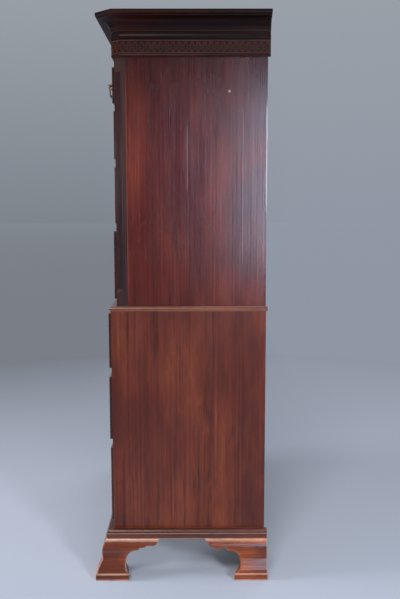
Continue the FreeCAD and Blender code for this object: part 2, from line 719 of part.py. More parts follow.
def ogee():
    """The bracket's face, from the pad to the base moulding, as corners (outward, up).

    A convex toe, a straight flare, a hollow neck and a full belly that turns in under the moulding.
    """
    foot = size.pad_height
    toe = toe_side - size.pad_lip
    shoulder = lower_half + size.base_moulding_reach + size.shoulder_lip
    return [(toe, foot), (toe - 2.5, foot + size.toe_round, 30), (toe - 15.5, foot + 3 * size.toe_round),
            (toe - 17.7, foot + 4 * size.toe_round, -20), (shoulder, size.foot_height, 67)]


def scroll():
    """The bracket's lower edge as corners (distance from the toe, up), from the pad to the tip.

    A flare on the pad, the upright, a quarter hollow, a ledge, a quarter round, a flat and a full lobe.
    """
    foot = size.pad_height
    neck = size.bracket_neck
    flare = size.bracket_flare
    fillet = size.bracket_fillet
    step = size.scroll_round
    flat = size.foot_height - size.scroll_drop
    step_start = neck + fillet + size.scroll_ledge
    lobe_start = step_start + step + size.scroll_notch
    lobe_end = size.bracket_length - size.lobe_end
    lobe_radius = (lobe_end - lobe_start) * LOBE_FULLNESS
    return [(neck + flare, foot), (neck, foot + flare, -flare), (neck, flat - step - fillet),
            (neck + fillet, flat - step, -fillet), (step_start, flat - step), (step_start + step, flat, step),
            (lobe_start, flat), (lobe_end, size.foot_height - size.lobe_drop, lobe_radius),
            (size.bracket_length, size.foot_height)]


def bracket(name, plan, sign, toe):
    """An ogee bracket along a side: its plan, then the ogee and the scroll cut through it."""
    body = new_body(name)
    pad(body, outline(body, "XY_Plane", plan, size.pad_height), size.foot_height - size.pad_height)
    below = size.pad_height - CLEAR
    above = size.foot_height + CLEAR
    face_waste = [(bracket_waste, below), (ogee()[0][0], below), *ogee(),
                  (ogee()[-1][0], above), (bracket_waste, above)]
    pocket_through(body, outline(body, "XZ_Plane", face_waste), size.lower_depth)
    edge = [(toe + sign * corner[0], *corner[1:2], *[sign * radius for radius in corner[2:]])
            for corner in scroll()]
    beyond = toe + sign * (size.bracket_length + CLEAR)
    edge_waste = [(beyond, below), (edge[0][0], below), *edge, (edge[-1][0], above), (beyond, above)]
    pocket_through(body, outline(body, "YZ_Plane", edge_waste), size.lower_width)
    return body


def pad_under(name, west, front):
    """The square pad that a foot stands on."""
    return board(name, west, west + size.pad_length, front, front + size.pad_length, 0, size.pad_height)


def front_foot():
    """A side bracket and a front bracket, mitred at the corner, with a block and a pad."""
    inner_front = lower_front + size.bracket_inset
    end = toe_front + size.bracket_length
    plan = [(bracket_inner, inner_front), (toe_side, toe_front), (toe_side, end), (bracket_inner, end)]
    side = bracket("front_foot_side_bracket", plan, 1, toe_front)
    front = doc.addObject("Part::Mirroring", "front_foot_front_bracket")
    front.Source = side
    front.Normal = FreeCAD.Vector(1, 1, 0)
    bind(front, Base__x=lower_half, Base__y=lower_front)
    block = board("front_foot_block", bracket_inner - size.foot_block, bracket_inner, inner_front,
                  inner_front + size.foot_block, size.pad_height, size.foot_height)
    return [side, front, block, pad_under("front_foot_pad", toe_side - size.pad_length, toe_front)]


def back_foot():
    """A side bracket that stops flat at the back, a plain bracket behind, a block and a pad."""
    start = toe_back - size.bracket_length
    plan = [(bracket_inner, start), (toe_side, start), (toe_side, toe_back), (bracket_inner, toe_back)]
    side = bracket("back_foot_side_bracket", plan, -1, toe_back)
    body = new_body("back_foot_plain_bracket")
    tip = bracket_inner - size.back_bracket_length
    shape = outline(body, "XZ_Plane", [(bracket_inner, size.pad_height), (bracket_inner, size.foot_height),
                                       (tip, size.foot_height), (tip + 12, size.foot_height - 30),
                                       (bracket_inner - size.foot_block - 30, size.foot_height - 42),
                                       (bracket_inner - size.foot_block, size.pad_height, 90)],
                    -case_back)
    pad(body, shape, size.back_bracket)
    block = board("back_foot_block", bracket_inner - size.foot_block, bracket_inner,
                  case_back - size.back_bracket - size.foot_block, case_back - size.back_bracket,
                  size.pad_height, size.foot_height)
    return [side, body, block, pad_under("back_foot_pad", toe_side - size.pad_length,
                                         toe_back - size.pad_length)]


for name, pieces in (("front_feet", front_foot()), ("back_feet", back_foot())):
    node(name, *[item for piece in pieces for item in both_sides(piece.Name, piece)])

# ------------------------------------------------------------------------------------------------
# Handles: there are many of them, so their round parts are made with few flat faces
# ------------------------------------------------------------------------------------------------
POST_SIDES = 6
BAIL_SIDES = 6
FLAT_TO_CORNER = 1 / math.cos(math.pi / POST_SIDES)
ACROSS = FreeCAD.Rotation(FreeCAD.Vector(0, 1, 0), 90)


def skin(rings):
    """A closed solid with flat faces from ring to ring and a flat face at each end."""
    faces = [Part.Face(Part.makePolygon([*ring, ring[0]])) for ring in (rings[0], rings[-1])]
    for near, far in zip(rings, rings[1:]):
        for number, corner in enumerate(near):
            after = (number + 1) % len(near)
            quad = [corner, near[after], far[after], far[number]]
            lean = (quad[1] - quad[0]).cross(quad[2] - quad[0]).dot(quad[3] - quad[0])
            pieces = [quad] if abs(lean) < 1e-7 else [quad[:3], [quad[2], quad[3], quad[0]]]
            faces += [Part.Face(Part.makePolygon([*piece, piece[0]])) for piece in pieces]
    solid = Part.Solid(Part.Shell(faces))
    if solid.Volume < 0:
        solid.reverse()
    return solid


def ring(spot, side, thickness, count):
    """Corners round a spot, square to the plane's third direction; the ring lies along side and Y."""
    corners = []
    for number in range(count):
        turn = 2 * math.pi * (number + 0.5) / count
        offset = side[0] * math.cos(turn) + side[1] * math.sin(turn)
        corners.append(spot + offset * (thickness / 2))
    return corners


def handle_post():
    """A square shank, a domed rose, a neck and a drum head bored across for the bail's pins."""
    away = size.post_standoff.value()
    head = size.head_radius.value()
    neck = size.neck_radius.value()
    rose = size.rose_radius.value()
    profile = [(rose, 0), (neck + 1, size.rose_height.value()), (neck, away - head - 1),
               (head, away - head * 0.8), (head * 0.8, away + head)]
    plane = (FreeCAD.Vector(1, 0, 0), FreeCAD.Vector(0, 0, 1))
    turning = doc.addObject("Part::Feature", "post_turning")
    turning.Shape = skin([ring(FreeCAD.Vector(0, -ahead, 0), plane, 2 * radius, POST_SIDES)
                          for radius, ahead in profile])
    shank = board("post_shank", -size.shank / 2, size.shank / 2, 0, size.front_board,
                  -size.shank / 2, size.shank / 2)
    solid = doc.addObject("Part::MultiFuse", "post_solid")
    solid.Shapes = [turning, shank]
    bore = doc.addObject("Part::Prism", "pin_bore")
    bore.Polygon = POST_SIDES
    bore.Placement = FreeCAD.Placement(FreeCAD.Vector(), ACROSS)
    bind(bore, Circumradius=(size.pin_radius + size.pin_gap) * FLAT_TO_CORNER,
         Height=2 * (size.head_radius + CLEAR))
    move(bore, -size.head_radius - CLEAR, -size.post_standoff, 0)
    return cut("handle_post", solid, bore)


def bail_ring(x, z, heading, thickness):
    """A ring of the bail, square to the way the bail runs there; the heading is in degrees."""
    angle = math.radians(heading)
    side = (FreeCAD.Vector(-math.sin(angle), 0, math.cos(angle)), FreeCAD.Vector(0, 1, 0))
    return ring(FreeCAD.Vector(x, 0, z), side, thickness, BAIL_SIDES)


def swan_neck_bail():
    """A cast bail hanging from its pins: its necks bend down, sweep in and meet in a fuller grip."""
    half = size.post_span.value() / 2
    head = size.head_radius.value()
    neck = size.neck_thickness.value()
    grip = size.grip_thickness.value()
    pin = 2 * size.pin_radius.value()
    drop = size.bail_drop.value()
    shoulder = half + head + size.bail_gap.value()
    right = [
        (0, -drop, 0, grip),
        (half * 0.72, -drop + 1.2, 10, neck * 1.2),
        (half, -drop * 0.72, 58, neck),
        (half * 1.26, -drop * 0.37, 62, neck),
        (shoulder + neck * 1.1, -drop * 0.14, 105, neck),
        (shoulder, 0, 180, neck),
        (shoulder, 0, 180, pin),
        (half + head - size.pin_length.value(), 0, 180, pin),
    ]
    left = [(-x, z, -heading, thickness) for x, z, heading, thickness in reversed(right[1:])]
    return skin([bail_ring(*place) for place in left + right])


post_master = handle_post()
bail_shape = swan_neck_bail()


def copy_of(master, name, x, y, z):
    link = doc.addObject("App::Link", name)
    link.LinkedObject = master
    return move(link, x, y, z)


# ------------------------------------------------------------------------------------------------
# Drawers
# ------------------------------------------------------------------------------------------------
LONG_DRAWER_TAILS = 3
SHORT_DRAWER_TAILS = 2
BACK_TAILS = 2
TAIL_SHARE = 0.6           # width of a tail at its root as a share of the pitch


def cock_beads(name, west, east, face, low, high):
    """Four strips round the front's edge, mitred at its corners, each with a rounded nose."""
    outer = [(west, low), (east, low), (east, high), (west, high)]
    width = size.bead_width
    inner = [(west + width, low + width), (east - width, low + width),
             (east - width, high - width), (west + width, high - width)]
    crest = (face - size.bead_reach).value()
    strips = []
    for number in range(len(outer)):
        after = (number + 1) % len(outer)
        body = new_body(f"{name}_cock_bead_{number + 1}")
        plan = outline(body, "XZ_Plane", [outer[number], outer[after], inner[after], inner[number]],
                       -(face + size.bead_depth))
        strip = pad(body, plan, size.bead_depth + size.bead_reach)
        doc.recompute()
        mitre = 2 * width.value()
        edges = [f"Edge{place}" for place, edge in enumerate(strip.Shape.Edges, start=1)
                 if edge.Length > mitre and all(abs(vertex.Y - crest) < 1e-6 for vertex in edge.Vertexes)]
        rounding = body.newObject("PartDesign::Chamfer", f"{body.Name}_nose")
        rounding.Base = (strip, edges)
        bind(rounding, Size=size.bead_round)
        strips.append(body)
    return strips


def tails(root, tip, low, high, count):
    """Dovetails in an edge, as corners from low to high; root and tip are where a tail starts and ends."""
    pitch = (high - low) / count
    corners = []
    for number in range(count):
        middle = low + pitch * (number + 0.5)
        narrow = pitch * TAIL_SHARE / 2
        wide = narrow + size.dovetail_slope
        corners += [(root, middle - narrow), (tip, middle - wide),
                    (tip, middle + wide), (root, middle + narrow)]
    return corners


def drawer_side(name, west, front, back, low, high, back_low, back_high, front_tails):
    """An oak side: lapped dovetails into the front, through dovetails into the back."""
    body = new_body(f"{name}_wood")
    lap = front - size.front_board + size.dovetail_lap
    shoulder = back - size.lining
    corners = [(front, low), *tails(front, lap, low, high, front_tails), (front, high), (back, high),
               (back, back_high), (shoulder, back_high),
               *reversed(tails(shoulder, back, back_low, back_high, BACK_TAILS)),
               (shoulder, back_low), (back, back_low), (back, low)]
    pad(body, outline(body, "YZ_Plane", corners, west), size.lining)
    return body


def hole_through_front(name, x, z, face, wide, high):
    return board(name, x - wide / 2, x + wide / 2, face - CLEAR, face + size.front_board + CLEAR,
                 z - high / 2, z + high / 2)


def drawer(name, west, east, case_front, floor, height, stand, middles, front_tails):
    """One drawer: front, oak linings, brasses and two bails, shut against its stops."""
    west = west + size.end_gap
    east = east - size.end_gap
    face = place(f"{name}_face", case_front - stand)
    low = floor + size.foot_gap
    high = low + height
    behind = face + size.front_board
    side_low = floor + size.runner_gap
    side_high = high - size.side_drop
    bottom_low = side_low + size.bottom_raise
    bottom_high = bottom_low + size.bottom_board
    inner_west = west + size.lining
    inner_east = east - size.lining
    bottom = board(f"{name}_bottom", inner_west - size.bottom_groove, inner_east + size.bottom_groove,
                   behind - size.bottom_groove, drawer_tail, bottom_low, bottom_high)
    back_high = side_high - size.back_drop
    left, right = [
        cut(f"{name}_{word}_side", drawer_side(f"{name}_{word}", start, behind, drawer_tail, side_low,
                                               side_high, bottom_high, back_high, front_tails), bottom)
        for word, start in (("left", west), ("right", inner_east))
    ]
    back = cut(f"{name}_back", board(f"{name}_back_board", west, east, drawer_tail - size.lining, drawer_tail,
                                     bottom_high, back_high), left, right)
    handle_height = floor + size.foot_gap + height / 2 + size.handle_rise
    key_x = (west + east) / 2
    key_z = high - size.keyhole_drop
    post_places = [middle + sign * size.post_span / 2 for middle in middles for sign in (-1, 1)]
    square = size.shank + 2 * size.shank_gap
    holes = [hole_through_front(f"{name}_hole", x, handle_height, face, square, square)
             for x in post_places]
    holes.append(hole_through_front(f"{name}_keyhole", key_x, key_z, face, size.keyhole_width,
                                    size.keyhole_height))
    lock = board(f"{name}_lock", key_x - size.lock_width / 2, key_x + size.lock_width / 2,
                 behind - size.lock_depth, behind, high - size.lock_height, high)
    beads = cock_beads(name, west, east, face, low, high)
    front = cut(f"{name}_front", board(f"{name}_front_board", west, east, face, behind, low, high),
                *beads, *holes, left, right, bottom, lock)
    posts = [copy_of(post_master, f"{name}_post", x, face, handle_height) for x in post_places]
    node(f"{name}_front", front, *beads)
    node(f"{name}_linings", left, right, back, bottom)
    node(f"{name}_brasses", *posts, lock)
    for word, middle in zip(("left", "right"), middles):
        bail = doc.addObject("Part::Feature", f"{name}_bail_{word}")
        bail.Shape = bail_shape
        node(f"{name}_bail_{word}", move(bail, middle, face - size.post_standoff, handle_height))
    return stops(name, floor, face, [west + (east - west) * share for share in (0.2, 0.8)])


def long_drawer(name, half, case_front, floor):
    """A drawer across the whole case; its height and stand are the sheet's values of its own name."""
    tier = name.replace("_drawer", "")
    return drawer(name, -half, half, case_front, floor, getattr(size, f"{tier}_height"),
                  getattr(size, f"{tier}_stand"), (-size.handle_line, size.handle_line), LONG_DRAWER_TAILS)


lower_stops = []
for name, floor in (("lower_low_drawer", lower_low_floor), ("lower_middle_drawer", lower_middle_floor),
                    ("lower_high_drawer", lower_high_floor)):
    lower_stops += long_drawer(name, lower_inner, lower_front, floor)
upper_stops = []
for name, floor in (("upper_low_drawer", upper_low_floor), ("upper_middle_drawer", upper_middle_floor),
                    ("upper_high_drawer", upper_high_floor)):
    upper_stops += long_drawer(name, opening_half, upper_front, floor)
for name, west, east in (("short_left_drawer", -opening_half, -size.partition / 2),
                         ("short_right_drawer", size.partition / 2, opening_half)):
    upper_stops += drawer(name, west, east, upper_front, short_floor, size.short_height, size.short_stand,
                          (west + size.short_handle, east - size.short_handle), SHORT_DRAWER_TAILS)

node("lower_runners", *[piece for level in lower_levels for piece in level.runners + level.dustboards],
     *lower_stops)
node("upper_runners", *[piece for level in upper_levels for piece in level.runners + level.dustboards],
     middle_runner, middle_guide, *both_sides("kicker", kicker),
     *[piece for guide in guides for piece in both_sides("guide", guide)], *upper_stops)

# ------------------------------------------------------------------------------------------------
# Check every object, then write one file for each node
# ------------------------------------------------------------------------------------------------
doc.recompute()
faults = [item.Name for item in doc.Objects if {"Invalid", "Error"} & set(item.State)]
if faults:
    raise SystemExit(f"objects that failed: {faults}")
os.makedirs("parts", exist_ok=True)
shapes = {name: Part.getShape(item) for name, item in nodes.items()}
for name, shape in shapes.items():
    if shape.isNull() or not shape.isValid() or not shape.Solids:
        raise SystemExit(f"{name} has no valid solid")
for name, shape in shapes.items():
    shape.exportStep(f"parts/{name}.step")
print(f"{len(shapes)} nodes, {sum(len(shape.Solids) for shape in shapes.values())} solids")
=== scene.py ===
import json
import math
from functools import partial

import bmesh
import bpy
import numpy as np
from mathutils import Matrix, Vector

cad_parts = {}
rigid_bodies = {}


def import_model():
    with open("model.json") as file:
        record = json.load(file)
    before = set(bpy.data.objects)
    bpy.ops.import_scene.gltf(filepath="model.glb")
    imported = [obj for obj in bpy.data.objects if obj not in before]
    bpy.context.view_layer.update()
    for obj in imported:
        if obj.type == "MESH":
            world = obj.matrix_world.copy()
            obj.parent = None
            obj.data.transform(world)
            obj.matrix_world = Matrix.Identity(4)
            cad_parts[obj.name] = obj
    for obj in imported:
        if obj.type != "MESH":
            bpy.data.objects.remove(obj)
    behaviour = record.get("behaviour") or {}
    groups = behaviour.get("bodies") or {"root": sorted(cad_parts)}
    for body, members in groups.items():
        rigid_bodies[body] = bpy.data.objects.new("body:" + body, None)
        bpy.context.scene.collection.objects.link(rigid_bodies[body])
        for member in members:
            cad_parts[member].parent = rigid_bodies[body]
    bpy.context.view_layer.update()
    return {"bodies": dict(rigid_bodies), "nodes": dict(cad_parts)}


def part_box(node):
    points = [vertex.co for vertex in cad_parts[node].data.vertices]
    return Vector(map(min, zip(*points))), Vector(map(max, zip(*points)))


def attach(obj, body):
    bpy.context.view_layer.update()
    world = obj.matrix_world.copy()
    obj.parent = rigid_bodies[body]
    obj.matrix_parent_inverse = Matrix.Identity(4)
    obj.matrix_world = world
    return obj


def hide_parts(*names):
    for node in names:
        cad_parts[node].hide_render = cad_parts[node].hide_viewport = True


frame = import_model()

# ---------------------------------------------------------------------------
# Camera: square on to the side of the chest, a little below eye level, looking
# slightly down.  The long side of the frame is 599 pixels.

FOCAL_PIXELS = 772.2
LONG_SIDE = 599
SENSOR = 36.0
CAMERA_PLACE = (3.0712, 0.0490, 1.2907)
CAMERA_PITCH = 0.1295
CAMERA_YAW = -0.0058
CAMERA_ROLL = -0.0012


def make_camera():
    """A lens of that focal length, tilted down, turned and rolled a little."""
    lens = bpy.data.cameras.new("side_camera")
    lens.sensor_width = SENSOR
    lens.lens = FOCAL_PIXELS * SENSOR / LONG_SIDE
    lens.clip_end = 100
    camera = bpy.data.objects.new("side_camera", lens)
    bpy.context.scene.collection.objects.link(camera)
    turned = Matrix.Rotation(math.pi / 2 + CAMERA_YAW, 4, "Z")
    tilted = Matrix.Rotation(math.pi / 2 - CAMERA_PITCH, 4, "X")
    rolled = Matrix.Rotation(CAMERA_ROLL, 4, "Z")
    camera.matrix_world = Matrix.Translation(CAMERA_PLACE) @ turned @ tilted @ rolled
    bpy.context.scene.camera = camera


# ---------------------------------------------------------------------------
# Main sizes of the two cases.

MM = 0.001
LOWER_HALF = 526 * MM
LOWER_FRONT = -233.6 * MM
UPPER_HALF = 510 * MM
UPPER_FRONT = -214.6 * MM
CASE_BACK = 283.9 * MM
CANT = 24 * MM             # how far the front corners of the upper case are cut back

# ---------------------------------------------------------------------------
# Colours and nodes.


def linear(hex_colour):
    """An sRGB colour written as hex, turned to the linear values that shaders take."""
    parts = [int(hex_colour[at:at + 2], 16) / 255 for at in (1, 3, 5)]
    return tuple(p / 12.92 if p <= 0.04045 else ((p + 0.055) / 1.055) ** 2.4 for p in parts) + (1.0,)


def add(tree, kind, inputs, out=0, **settings):
    """Adds one node: settings are its properties, and inputs its sockets' values or what links to them."""
    made = tree.nodes.new("ShaderNode" + kind)
    for key, value in settings.items():
        setattr(made, key, value)
    for key, value in inputs.items():
        if isinstance(value, bpy.types.NodeSocket):
            tree.links.new(value, made.inputs[key])
        else:
            made.inputs[key].default_value = value
    return made.outputs[out] if made.outputs else None


def new_material(name):
    """An empty node material, and a way to add nodes to it."""
    material = bpy.data.materials.new(name)
    material.use_nodes = True
    material.node_tree.nodes.clear()
    return material, partial(add, material.node_tree)


# ---------------------------------------------------------------------------
# Woods.  Grain is worked out in coordinates whose third axis runs along the fibres.

TURNS = {"X": (0.0, math.pi / 2, 0.0), "Y": (math.pi / 2, 0.0, 0.0), "Z": (0.0, 0.0, 0.0)}
BARE_WOOD_AND_HIGHLIGHT = "#e3a98a"      # where hands and dusters have rubbed through the polish, and the painted highlight on the feet's shoulders
END_GRAIN = "#1c0d0b"      # drinks the polish and goes near black


def grain_space(put, axis, corner):
    """Object coordinates turned so that the fibres run along the third axis.  Where a corner is given, the
    lengths along the sides, where |x| + y is more than it, run along Y instead, up to their mitres."""
    place = put("TexCoord", {}, out=3)
    grain = put("Mapping", {"Vector": place, "Rotation": TURNS[axis]})
    if corner is None:
        return grain
    x, y = (put("SeparateXYZ", {0: place}, out=number) for number in (0, 1))
    across = put("Math", {0: put("Math", {0: x}, operation="ABSOLUTE"), 1: y}, operation="ADD")
    on_side = put("Math", {0: across, 1: corner}, operation="GREATER_THAN")
    sides = put("Mapping", {"Vector": place, "Rotation": TURNS["Y"]})
    return put("Mix", {0: on_side, 4: grain, 5: sides}, out=1, data_type="VECTOR")


def polished_mahogany(name, axis, dark, middle, light, sheen, corner=None, figure=0.35, rub=0.8, coat=0.5,
                      marks=None):
    """Cuban mahogany, planed by hand and French polished two centuries ago.

    It shows long narrow streaks of dark pores, broader bands where the growth changed, short ribbons of
    interlocked grain that turn with the light, near black end grain, a film of polish that has sunk along the
    fibres, slow waves from the plane, and pale arrises where the polish has rubbed through; on the feet's
    shoulders the same pale colour is also a painted highlight.
    """
    material, put = new_material(name)
    grain = grain_space(put, axis, corner)
    # Each texture measures so many metres across and along the fibres; then its detail, roughness and warp.
    # Real pores are 0.2 mm wide: they are drawn 1.3 mm wide so that they show.
    clouds = {}
    for part, across, along, detail, rough, warp in (
            ("pores", 0.0013, 0.03, 1.0, 0.5, 0.0), ("streaks", 0.006, 0.55, 3.0, 0.6, 0.3),
            ("bands", 0.034, 1.1, 3.0, 0.55, 0.5), ("ribbons", 0.022, 0.10, 2.0, 0.5, 1.0),
            ("slow", 0.16, 0.42, 2.0, 0.5, 0.0), ("rubbing", 0.012, 0.05, 3.0, 0.6, 0.0)):
        space = put("Mapping", {"Vector": grain, "Scale": (1 / across, 1 / across, 1 / along)})
        clouds[part] = put("TexNoise", {"Vector": space, "Scale": 1.0, "Detail": detail, "Roughness": rough,
                                        "Distortion": warp})
    streaks, slow = clouds["streaks"], clouds["slow"]
    tone = put("Math", {0: streaks, 1: 0.45}, operation="MULTIPLY")
    tone = put("Math", {0: clouds["bands"], 1: 0.55, 2: tone}, operation="MULTIPLY_ADD")
    ribbons = put("Math", {0: clouds["ribbons"], 1: 0.5}, operation="SUBTRACT")
    tone = put("Math", {0: ribbons, 1: figure, 2: tone}, operation="MULTIPLY_ADD")
    tone = put("MapRange", {"Value": tone, "From Min": 0.30, "From Max": 0.68})
    colour = put("Mix", {0: tone, 6: linear(dark), 7: linear(middle)}, out=2, data_type="RGBA")
    warm = put("Math", {0: put("MapRange", {"Value": slow, "From Min": 0.44, "From Max": 0.66}), 1: tone},
               operation="MULTIPLY")
    colour = put("Mix", {0: warm, 6: colour, 7: linear(light)}, out=2, data_type="RGBA")
    fleck = put("MapRange", {"Value": clouds["pores"], "From Min": 0.58, "From Max": 0.74, "To Max": 0.5})
    colour = put("Mix", {0: fleck, 6: colour, 7: linear(dark)}, out=2, data_type="RGBA")
    if marks:
        colour = marks(put, colour)
    if corner is None:
        facing = put("Mapping", {"Vector": put("TexCoord", {}, out=1), "Rotation": TURNS[axis]})
        facing = put("Math", {0: put("SeparateXYZ", {0: facing}, out=2)}, operation="ABSOLUTE")
        ends = put("MapRange", {"Value": facing, "From Min": 0.75, "From Max": 0.95, "To Max": 0.8})
        colour = put("Mix", {0: ends, 6: colour, 7: linear(END_GRAIN)}, out=2, data_type="RGBA")
    # This attribute carries real wear and, on the feet's shoulders, a painted highlight; both mix in the same
    # pale colour.
    wear_and_highlight = put("Attribute", {}, out=2, attribute_name="wear_and_highlight")
    rubbed = put("MapRange", {"Value": clouds["rubbing"], "From Min": 0.25, "From Max": 0.55,
                              "To Min": rub * 0.4, "To Max": rub})
    rubbed = put("Math", {0: wear_and_highlight, 1: rubbed}, operation="MULTIPLY")
    colour = put("Mix", {0: rubbed, 6: colour, 7: linear(BARE_WOOD_AND_HIGHLIGHT)}, out=2, data_type="RGBA")
    roughness = put("MapRange", {"Value": put("Math", {0: slow, 1: streaks}, operation="ADD"),
                                 "From Min": 0.7, "From Max": 1.3, "To Min": sheen - 0.05,
                                 "To Max": sheen + 0.09})
    film = put("MapRange", {"Value": streaks, "From Min": 0.38, "From Max": 0.62, "To Max": coat})
    height = put("Math", {0: slow, 1: 5.0, 2: put("Math", {0: fleck, 1: -0.5}, operation="MULTIPLY")},
                 operation="MULTIPLY_ADD")
    height = put("Math", {0: streaks, 1: 1.2, 2: height}, operation="MULTIPLY_ADD")
    bump = put("Bump", {"Height": height, "Strength": 0.35, "Distance": 0.0006})
    shader = put("BsdfPrincipled", {"Base Color": colour, "Roughness": roughness, "Normal": bump, "IOR": 1.5,
                                    "Specular IOR Level": min(0.5, coat), "Coat Weight": film,
                                    "Coat Roughness": 0.16})
    put("OutputMaterial", {"Surface": shader})
    return material


# Lines up the side: place across, low and high end, half width, strength and colour.  The pale line along the
# back edge, at 0.2825, is wear with a painted highlight on it.
SIDE_LINES = [(0.0225, 1.30, 1.54, 0.0013, 0.42, "#a98d92"), (0.0270, 1.20, 1.62, 0.0030, 0.5, "#2a0d0a"),
              (0.0300, 0.95, 1.30, 0.0030, 0.35, "#2a0d0a"), (0.2050, 1.05, 1.60, 0.0020, 0.25, "#a8939c"),
              (0.2825, 1.22, 1.62, 0.0022, 0.70, "#c3c6cf"), (-0.1755, 0.95, 1.72, 0.0022, 0.45, "#8a3f30")]
CHIP_PLACE = (0.510, 0.160, 1.636)
# Painted shade under the cornice.
PAINTED_CORNICE_SHADE = "#220b0a"
FILLED_CHIP = "#b79a9c"


def side_marks_and_painted_light(put, colour):
    """Marks and painted light on the sides of the upper case: painted shade that darkens them towards the
    cornice, and on the right an open joint between two boards with a pale line beside it, a fainter one
    further back, a worn line beside the post, a rubbed back edge with a painted highlight along it, and a
    chip filled with something pale."""
    place = put("TexCoord", {}, out=3)
    x, y, z = (put("SeparateXYZ", {0: place}, out=number) for number in (0, 1, 2))
    right = put("Math", {0: x, 1: 0.0}, operation="GREATER_THAN")
    # Painted shade: the sides grow darker towards the top, under the cornice.
    cornice_shade = put("MapRange", {"Value": z, "From Min": 1.42, "From Max": 1.76, "To Max": 0.75})
    colour = put("Mix", {0: cornice_shade, 6: colour, 7: linear(PAINTED_CORNICE_SHADE)}, out=2, data_type="RGBA")
    wander = put("TexNoise", {"Vector": place, "Scale": 9.0, "Detail": 2.0})
    # Each line mixes in its colour; the pale one along the back edge is a painted highlight on the rubbed
    # arris.
    for at, low, high, half, strength, paint in SIDE_LINES:
        aside = put("Math", {0: wander, 1: 0.003, 2: at - 0.0015}, operation="MULTIPLY_ADD")
        off = put("Math", {0: put("Math", {0: y, 1: aside}, operation="SUBTRACT")}, operation="ABSOLUTE")
        near = put("MapRange", {"Value": off, "From Min": half * 0.4, "From Max": half, "To Min": strength,
                                "To Max": 0.0})
        up = put("Math", {0: put("Math", {0: z, 1: (low + high) / 2}, operation="SUBTRACT")},
                 operation="ABSOLUTE")
        along = put("MapRange", {"Value": up, "From Min": (high - low) * 0.35, "From Max": (high - low) / 2,
                                 "To Min": 1.0, "To Max": 0.0})
        share = put("Math", {0: put("Math", {0: near, 1: along}, operation="MULTIPLY"), 1: right},
                    operation="MULTIPLY")
        colour = put("Mix", {0: share, 6: colour, 7: linear(paint)}, out=2, data_type="RGBA")
    chip = put("VectorMath", {0: place, 1: CHIP_PLACE}, out=1, operation="DISTANCE")
    chip = put("MapRange", {"Value": chip, "From Min": 0.0025, "From Max": 0.0045, "To Min": 0.75,
                            "To Max": 0.0})
    return put("Mix", {0: chip, 6: colour, 7: linear(FILLED_CHIP)}, out=2, data_type="RGBA")


def dry_wood(name, axis, dark, light, grown):
    """Oak or pine inside and behind, planed and never polished: dry and dull, with growth lines, fibres and
    the grey of old dust."""
    material, put = new_material(name)
    grain = grain_space(put, axis, None)
    # Each texture measures so many metres across and along the fibres.  Real fibres are far finer than
    # 1.2 mm: they are drawn coarser so that they show.
    clouds = []
    for across, along, detail in ((grown, 0.5, 3.0), (0.0012, 0.03, 2.0), (0.15, 0.25, 3.0)):
        space = put("Mapping", {"Vector": grain, "Scale": (1 / across, 1 / across, 1 / along)})
        clouds.append(put("TexNoise", {"Vector": space, "Scale": 1.0, "Detail": detail, "Roughness": 0.6}))
    lines, fibres, dirt = clouds
    colour = put("Mix", {0: put("MapRange", {"Value": lines, "From Min": 0.35, "From Max": 0.65}),
                         6: linear(dark), 7: linear(light)}, out=2, data_type="RGBA")
    for texture, low, high, most in ((fibres, 0.5, 0.75, 0.35), (dirt, 0.45, 0.85, 0.3)):
        share = put("MapRange", {"Value": texture, "From Min": low, "From Max": high, "To Max": most})
        colour = put("Mix", {0: share, 6: colour, 7: linear(dark)}, out=2, data_type="RGBA")
    roughness = put("MapRange", {"Value": lines, "From Min": 0.3, "From Max": 0.7, "To Min": 0.62,
                                 "To Max": 0.8})
    bump = put("Bump", {"Height": fibres, "Strength": 0.3, "Distance": 0.0004})
    shader = put("BsdfPrincipled", {"Base Color": colour, "Roughness": roughness, "Normal": bump, "IOR": 1.5})
    put("OutputMaterial", {"Surface": shader})
    return material


BRIGHT_BRASS = "#b8914f"
TARNISH = "#6e4f28"


def cast_brass(name):
    """Cast brass, filed, lacquered and handled: warm and bright, with brown tarnish in patches."""
    material, put = new_material(name)
    place = put("TexCoord", {}, out=3)
    patches = put("TexNoise", {"Vector": place, "Scale": 110.0, "Detail": 4.0, "Roughness": 0.6})
    casting = put("TexNoise", {"Vector": place, "Scale": 660.0, "Detail": 2.0})
    tarnish = put("MapRange", {"Value": patches, "From Min": 0.42, "From Max": 0.68})
    colour = put("Mix", {0: tarnish, 6: linear(BRIGHT_BRASS), 7: linear(TARNISH)}, out=2, data_type="RGBA")
    roughness = put("MapRange", {"Value": patches, "From Min": 0.3, "From Max": 0.7, "To Min": 0.24,
                                 "To Max": 0.42})
    bump = put("Bump", {"Height": casting, "Strength": 0.15, "Distance": 0.0002})
    shader = put("BsdfPrincipled", {"Base Color": colour, "Roughness": roughness, "Normal": bump,
                                    "Metallic": 1.0})
    put("OutputMaterial", {"Surface": shader})
    return material


LOWER_CORNER = LOWER_HALF + LOWER_FRONT    # |x| + y on the mitres of the lower case
UPPER_CORNER = UPPER_HALF + UPPER_FRONT    # and of the upper case
